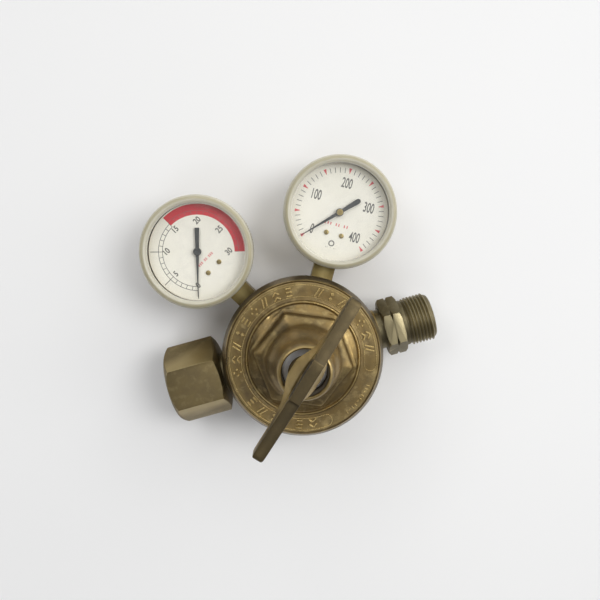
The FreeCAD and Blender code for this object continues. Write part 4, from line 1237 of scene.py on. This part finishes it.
@dataclass
class Gauge:
    """One dial gauge: lens cap, printed dial, pointer and dial screws."""

    side: str
    angle: float
    scale: Scale
    reach: float = 89.4
    lens_segments: int = 240
    dial_top: float = 12.2
    print_sunk: float = 0.02
    print_rise: float = 0.05
    window: float = 29.3
    knurl_from: float = 34.1  # radius and height that bound the skirt's serrations
    knurl_top: float = 17.0
    knurl_share: float = 0.987
    ladder: tuple[float, float] = (21.3, 23.7)
    hairline: float = 0.15
    screw_place: tuple[float, float] = (4.7, -13.5)
    badge_level: float = -19.3
    blade_levels: tuple[float, float] = (13.8, 14.4)
    zero: float = 135.0
    sweep: float = 270.0
    lens_outline: Outline = (
        (30.0, 19.0), (30.0, 15.2), (31.75, 15.2), (31.75, 8.0), (33.2, 8.0), (33.7, 8.25),
        (33.85, 8.8), (34.2, 9.2), (34.2, 16.9), (33.9, 17.3), (34.05, 17.9), (34.15, 18.8),
        (34.0, 19.8), (33.6, 20.7), (33.0, 21.4), (32.2, 21.85), (31.4, 22.0), (30.7, 21.8),
        (30.1, 21.3), (29.7, 20.8), (29.3, 20.5))

    def __post_init__(self) -> None:
        """Work out where the dial centre and the print lie."""
        turn = math.radians(self.angle)
        self.centre = (self.reach * math.cos(turn), self.reach * math.sin(turn))
        self.print_levels = (self.dial_top - self.print_sunk, self.dial_top + self.print_rise)

    def seat(self, piece: bpy.types.Object) -> bpy.types.Object:
        """Move a piece modelled about its dial centre out to the gauge."""
        piece.rotation_euler.z = math.radians(self.angle - 90.0)
        piece.location = (self.centre[0] * MM, self.centre[1] * MM, PORT_LEVEL * MM)
        settle(piece)
        return piece

    def direction(self, value: float) -> float:
        """Turn from the top of the dial to a scale value, anticlockwise in degrees."""
        return self.zero - self.sweep * value / self.scale.value[0]

    def lens(self) -> None:
        """Screw-on lens cap with a serrated skirt and a rounded ring."""
        cap = turned(f"{self.side}_lens_cap", self.lens_outline, self.lens_segments)
        step = math.tau / self.lens_segments

        def serrate(point: Vector) -> Vector:
            """Sink every other point of the skirt."""
            reach = math.hypot(point.x, point.y)
            odd = round(math.atan2(point.y, point.x) / step) % 2
            keep = self.knurl_share if (
                reach > self.knurl_from and point.z < self.knurl_top and odd) else 1.0
            return Vector((point.x * keep, point.y * keep, point.z))

        reshape(cap, serrate)
        finish = LensPlastic(f"{self.side}_lens_plastic", self.centre, self.window)
        deliver(self.seat(cap), "root", finish, [f"{self.side}_lens"])

    def dial(self) -> None:
        """Dial plate with a rolled edge."""
        plate = turned(f"{self.side}_dial_plate",
                       ((1.3, 11.6), (29.8, 11.6), (29.8, 12.0), (29.6, 12.2), (1.4, 12.2)), 144,
                       ring=True)
        deliver(self.seat(plate), "root", DIAL_PAINT, [f"{self.side}_dial"])

    def tick(self, inner: float, outer: float, width: float, values: Iterable[float],
             point: float = 1.0) -> bpy.types.Object:
        """Row of scale marks.

        Args:
            inner: Radius of the inner ends.
            outer: Radius of the outer ends.
            width: Width at the outer end.
            values: Scale values that are marked.
            point: Width of the inner end as a share of the outer one.

        Returns:
            The marks in one mesh.
        """
        mark = drawn_bar("mark", ((outer, width / 2, *self.print_levels),
                                  (inner, width / 2 * point, *self.print_levels)))
        return turned_copies("marks", mark, [self.direction(value) for value in values])

    def print_figures(self, size: float, squeeze: float, reach: float,
                      weight: float) -> list[bpy.types.Object]:
        """Figures round the dial, all upright in the dial's own frame."""
        top, between = self.scale.value
        figures = []
        for value in range(0, top + 1, between):
            turn = math.radians(self.direction(value) + 90.0)
            far = reach + (ZERO_OFFSET if value == 0 else 0.0)
            centre = (far * math.cos(turn), far * math.sin(turn))
            figures.append(figure(str(value), size, squeeze, centre, *self.print_levels, weight))
        return figures

    def caption(self, level: float, reach: float, pattern: str, width: float) -> bpy.types.Object:
        """Line of short dashes that stands for the unit line under the middle.

        Args:
            level: Height of the line above the dial's middle, usually below it.
            reach: Half the length of the line.
            pattern: Groups of dashes; a space leaves a gap.
            width: Width of a dash.

        Returns:
            The dashes in one mesh.
        """
        low, high = self.print_levels
        step = 2 * reach / (len(pattern) - 1)
        dashes = [block("dash", (-reach + step * index, level, (low + high) / 2),
                        (width, 1.7 if letter == "|" else 0.4, high - low))
                  for index, letter in enumerate(pattern) if letter != " "]
        return gather("caption", dashes)

    def arc(self, inner: float, outer: float, start: float, end: float) -> bpy.types.Object:
        """Printed arc between two scale values."""
        first, last = self.direction(start) + 90.0, self.direction(end) + 90.0
        return arc_band("arc", inner, outer, last, first - last, *self.print_levels)

    def print_delivery(self) -> None:
        """Ladder scale, long marks and the red sector of the delivery dial."""
        inner, outer = self.ladder
        black = [self.tick(inner, outer, 0.3, range(16)), self.tick(outer, 28.6, 0.4, (0, 5, 10))]
        black += [self.arc(reach - self.hairline, reach + self.hairline, 0, 15)
                  for reach in self.ladder]
        black += self.print_figures(5.0, 0.82, 18.9, 0.08)
        faint = [self.tick(22.5, 25.0, 0.16, range(15, 31)), self.arc(24.9, 25.05, 15, 30)]
        red = self.arc(22.4, 29.0, 15, 30)
        for mark in faint:
            mark.location.z = 0.03 * MM
            settle(mark)
        self.issue(gather("delivery_print_black", black), Ink.BLACK)
        self.issue(gather("delivery_print_ladder", faint), Ink.GREY)
        self.issue(gather("delivery_print_red", [red]), Ink.RED)
        self.issue(self.caption(-6.6, 5.4, "||| || |||", 0.55), Ink.PINK,
                   "delivery_print_caption")

    def print_supply(self) -> None:
        """Tapered red marks, fine grey marks and tall figures of the supply dial."""
        fifty = range(0, 401, 50)
        fine = [value for value in range(0, 401, 10) if value % 50]
        self.issue(self.tick(23.9, 27.2, 1.8, fifty, 0.12), Ink.PINK, "supply_print_red")
        self.issue(self.tick(23.9, 27.0, 0.36, fine), Ink.GREY, "supply_print_fine")
        figures = self.print_figures(8.5, 0.52, 17.9, 0.12)
        self.issue(gather("supply_print_figures", figures), Ink.GREY)
        self.issue(self.caption(-7.6, 6.8, "||| || ||", 0.6), Ink.PINK,
                   "supply_print_caption")
        ring = arc_band("ring", 1.2, 1.85, 0.0, 359.0, *self.print_levels)
        ring.location.y = self.badge_level * MM
        settle(ring)
        self.issue(gather("supply_print_badge", [ring, self.caption(-22.0, 3.0, "-- - --", 0.3)]),
                   Ink.GREY)

    def issue(self, print_piece: bpy.types.Object, ink: Ink,
              name: str | None = None) -> None:
        """Seat a printed piece on the gauge and dress it in ink."""
        print_piece.name = name or print_piece.name
        deliver(self.seat(print_piece), "root", ink.value)

    def screws(self) -> None:
        """Two slotted dial screws."""
        head = turned("head", ((1.5, 12.2), (1.5, 12.7), (1.35, 13.0), (1.0, 13.1)), 40)
        combine(head, block("slot", (0, 0, 13.1), (0.35, 4.0, 0.7), 25.0), "DIFFERENCE")
        across, level = self.screw_place
        pair = [copy_at(head, Matrix.Translation((side * across * MM, level * MM, 0)))
                for side in (-1, 1)]
        bpy.data.objects.remove(head)
        deliver(self.seat(gather(f"{self.side}_slotted_screws", pair)), "root", STEM_BRASS,
                [f"{self.side}_dial_screws"])

    def pointer(self) -> None:
        """Tapered pointer at zero, with its hub and the arbor below it."""
        if self.scale is Scale.DELIVERY:
            widths = ((27.4, 0.18), (12.0, 0.55), (2.0, 1.0), (-2.0, 1.05), (-14.5, 1.4))
        else:
            widths = ((27.4, 0.15), (2.5, 1.0), (-2.0, 1.05), (-12.6, 1.55), (-13.6, 1.35),
                      (-14.2, 0.95), (-14.5, 0.4))
        blade = drawn_bar("blade", [(along, half, *self.blade_levels) for along, half in widths])
        soften(blade, 0.12, 1)
        hub = turned("hub", ((0.8, 1.5), (0.8, 13.2), (2.4, 13.2), (2.4, 15.1), (2.1, 15.5),
                             (1.2, 15.6), (0.8, 15.45)), 48)
        if self.scale is Scale.SUPPLY:
            cap = turned("cap", ((1.9, 15.3), (1.9, 15.6), (1.6, 15.62), (0.9, 15.62)), 40)
            self.hang(cap, f"{self.side}_pointer_cap", STEM_BRASS, ())
        self.hang(gather("blade", [blade, hub]), f"{self.side}_needle", NEEDLE_PAINT,
                  [f"{self.side}_pointer"])

    def hang(self, piece: bpy.types.Object, name: str, finish: Finish,
             replaces: Sequence[str]) -> None:
        """Turn a pointer piece to zero and hang it on the pointer's body."""
        piece.name = name
        piece.rotation_euler.z = math.radians(self.zero)
        settle(piece)
        deliver(self.seat(piece), f"{self.side}_pointer", finish, replaces)

    def build(self) -> None:
        """Model and dress the whole gauge."""
        self.lens()
        self.dial()
        self.screws()
        self.pointer()
        if self.scale is Scale.DELIVERY:
            self.print_delivery()
        else:
            self.print_supply()


@dataclass
class Studio:
    """Floor, soft light and camera."""

    camera_place: Point = (8.4, 68.4, 453.8)
    right: Point = (0.9638, -0.2658, 0.0207)
    forward: Point = (-0.0024, -0.0862, -0.9963)
    lens: float = 40.86
    sensor: float = 36.0
    floor_size: float = 6.0
    floor_gap: float = 0.3
    lamp_aim: Point = (0, 0.03, 0.03)
    lamps: tuple[tuple[Point, float, float], ...] = (  # place in metres, size, power
        ((0.65, 0.1, 1.1), 0.6, 5.6), ((-0.4, 0.7, 1.1), 0.5, 2.4),
        ((-0.45, -0.6, 1.3), 0.5, 1.5))
    bright_side: Point = (0.78, 0.58, 0.22)
    room: tuple[tuple[float, Colour], ...] = (  # from the dark side to the bright one
        (0.0, (0.10, 0.10, 0.11)), (0.2, (0.26, 0.26, 0.27)), (0.36, (0.12, 0.12, 0.13)),
        (0.58, (0.30, 0.30, 0.30)), (0.7, (0.58, 0.58, 0.58)), (0.83, (1.7, 1.7, 1.66)),
        (0.92, (0.45, 0.45, 0.45)), (1.0, (1.8, 1.8, 1.75)))

    def floor(self) -> None:
        """Pale seamless floor with the faintest unevenness."""
        deselect()
        bpy.ops.mesh.primitive_grid_add(x_subdivisions=8, y_subdivisions=8, size=self.floor_size,
                                        location=(0, 0, -self.floor_gap * MM))
        floor = made("studio_floor")
        material, recipe = new_recipe("studio_floor_paper")
        paper = recipe.noise(recipe.place(), 3.0, 2.0)
        colour = recipe.blend((0.86, 0.86, 0.865), (0.90, 0.90, 0.90), paper)
        recipe.surface({"Base Color": colour, "Roughness": 0.7})
        floor.data.materials.append(material)

    def world(self) -> None:
        """Soft room, dark on one side and bright on the other, with dim bands between."""
        world = bpy.data.worlds.new("soft_room")
        world.use_nodes = True
        bpy.context.scene.world = world
        recipe = Recipe(world.node_tree)
        way = recipe.node("ShaderNodeTexCoord", output=0)
        side = recipe.measure("DOT_PRODUCT", way, self.bright_side, output=1)
        colour = recipe.node("ShaderNodeValToRGB", {"stops": self.room}, {0: side * 0.5 + 0.5})
        background = recipe.node("ShaderNodeBackground", inputs={"Color": colour, "Strength": 1.0})
        recipe.node("ShaderNodeOutputWorld", inputs={"Surface": background})

    def light(self) -> None:
        """Large soft lamps aimed at the object."""
        for number, (place, size, power) in enumerate(self.lamps, start=1):
            deselect()
            aim = Vector(self.lamp_aim) - Vector(place)
            bpy.ops.object.light_add(type="AREA", location=place,
                                     rotation=aim.to_track_quat("-Z", "Y").to_euler())
            lamp = made(f"soft_lamp_{number}")
            lamp.data.shape = "DISK"
            lamp.data.size = size
            lamp.data.energy = power

    def camera(self) -> None:
        """Camera above the object, as on a copy stand."""
        deselect()
        bpy.ops.object.camera_add(location=tuple(v * MM for v in self.camera_place))
        camera = made("copy_stand_camera")
        forward = Vector(self.forward).normalized()
        right = Vector(self.right).normalized()
        up = right.cross(forward)
        turn = Matrix((right, up, -forward)).transposed()
        camera.rotation_euler = turn.to_euler()
        camera.data.lens = self.lens
        camera.data.sensor_width = self.sensor
        camera.data.clip_start = 0.01
        bpy.context.scene.camera = camera

    def build(self) -> None:
        """Set up the studio."""
        self.camera()
        self.floor()
        self.world()
        self.light()
        bpy.context.scene.view_settings.view_transform = "Standard"


@dataclass(frozen=True)
class Yielding:
    """A spring or a diaphragm, shown as a copy of its CAD node's shape.

    Args:
        node: CAD node whose shape it keeps.
        joint: Joint of the piece that presses on it.
        held_at: Height of the end that stays still, in millimetres; not used.
        keep: Share of its height that is left at the joint's limit; not used.
        finish: Its finish.
    """

    node: str
    joint: str
    held_at: float
    keep: float
    finish: Finish

    def build(self) -> None:
        """Make the piece from its node's shape, dress it and hang it on the root."""
        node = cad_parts[self.node]
        piece = bpy.data.objects.new(f"{self.node}_yielding", node.data.copy())
        bpy.context.collection.objects.link(piece)
        piece.matrix_world = node.matrix_world.copy()
        piece.data.materials.clear()
        piece.data.materials.append(self.finish.material())
        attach(piece, "root")
        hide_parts(self.node)
        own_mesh(piece)
        LOG.info("%s yields with %s", piece.name, self.joint)


YIELDING = (
    Yielding("adjusting_spring", "adjust_travel", 51.6, 0.765, SPRING_STEEL),
    Yielding("delivery_poppet_spring", "delivery_lift", 34.0, 0.67, SPRING_STEEL),
    Yielding("delivery_diaphragm", "delivery_lift", 48.0, 0.42, RUBBER),
    Yielding("first_stage_spring", "first_stage_lift", 5.5, 0.94, SPRING_STEEL),
    Yielding("first_stage_diaphragm", "first_stage_lift", 17.0, 0.44, RUBBER),
)


def dress_carried_over() -> None:
    """Give each CAD node that is still shown its finish."""
    for finish, names in CARRIED_OVER.items():
        for name in names:
            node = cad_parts[name]
            node.data.materials.clear()
            node.data.materials.append(finish.material())
            LOG.info("%s wears %s", name, finish.name)


def main() -> None:
    """Build everything round the frame."""
    logging.basicConfig(level=logging.INFO, format="%(message)s")
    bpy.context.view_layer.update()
    Studio().build()
    dress_carried_over()
    for piece in YIELDING:
        piece.build()
    Bonnet().build()
    Adjuster().build()
    InletNut().build()
    Outlet().build()
    Gauge("delivery", 120.0, Scale.DELIVERY).build()
    Gauge("supply", 60.0, Scale.SUPPLY).build()
    deselect()


if __name__ == "__main__":
    main()
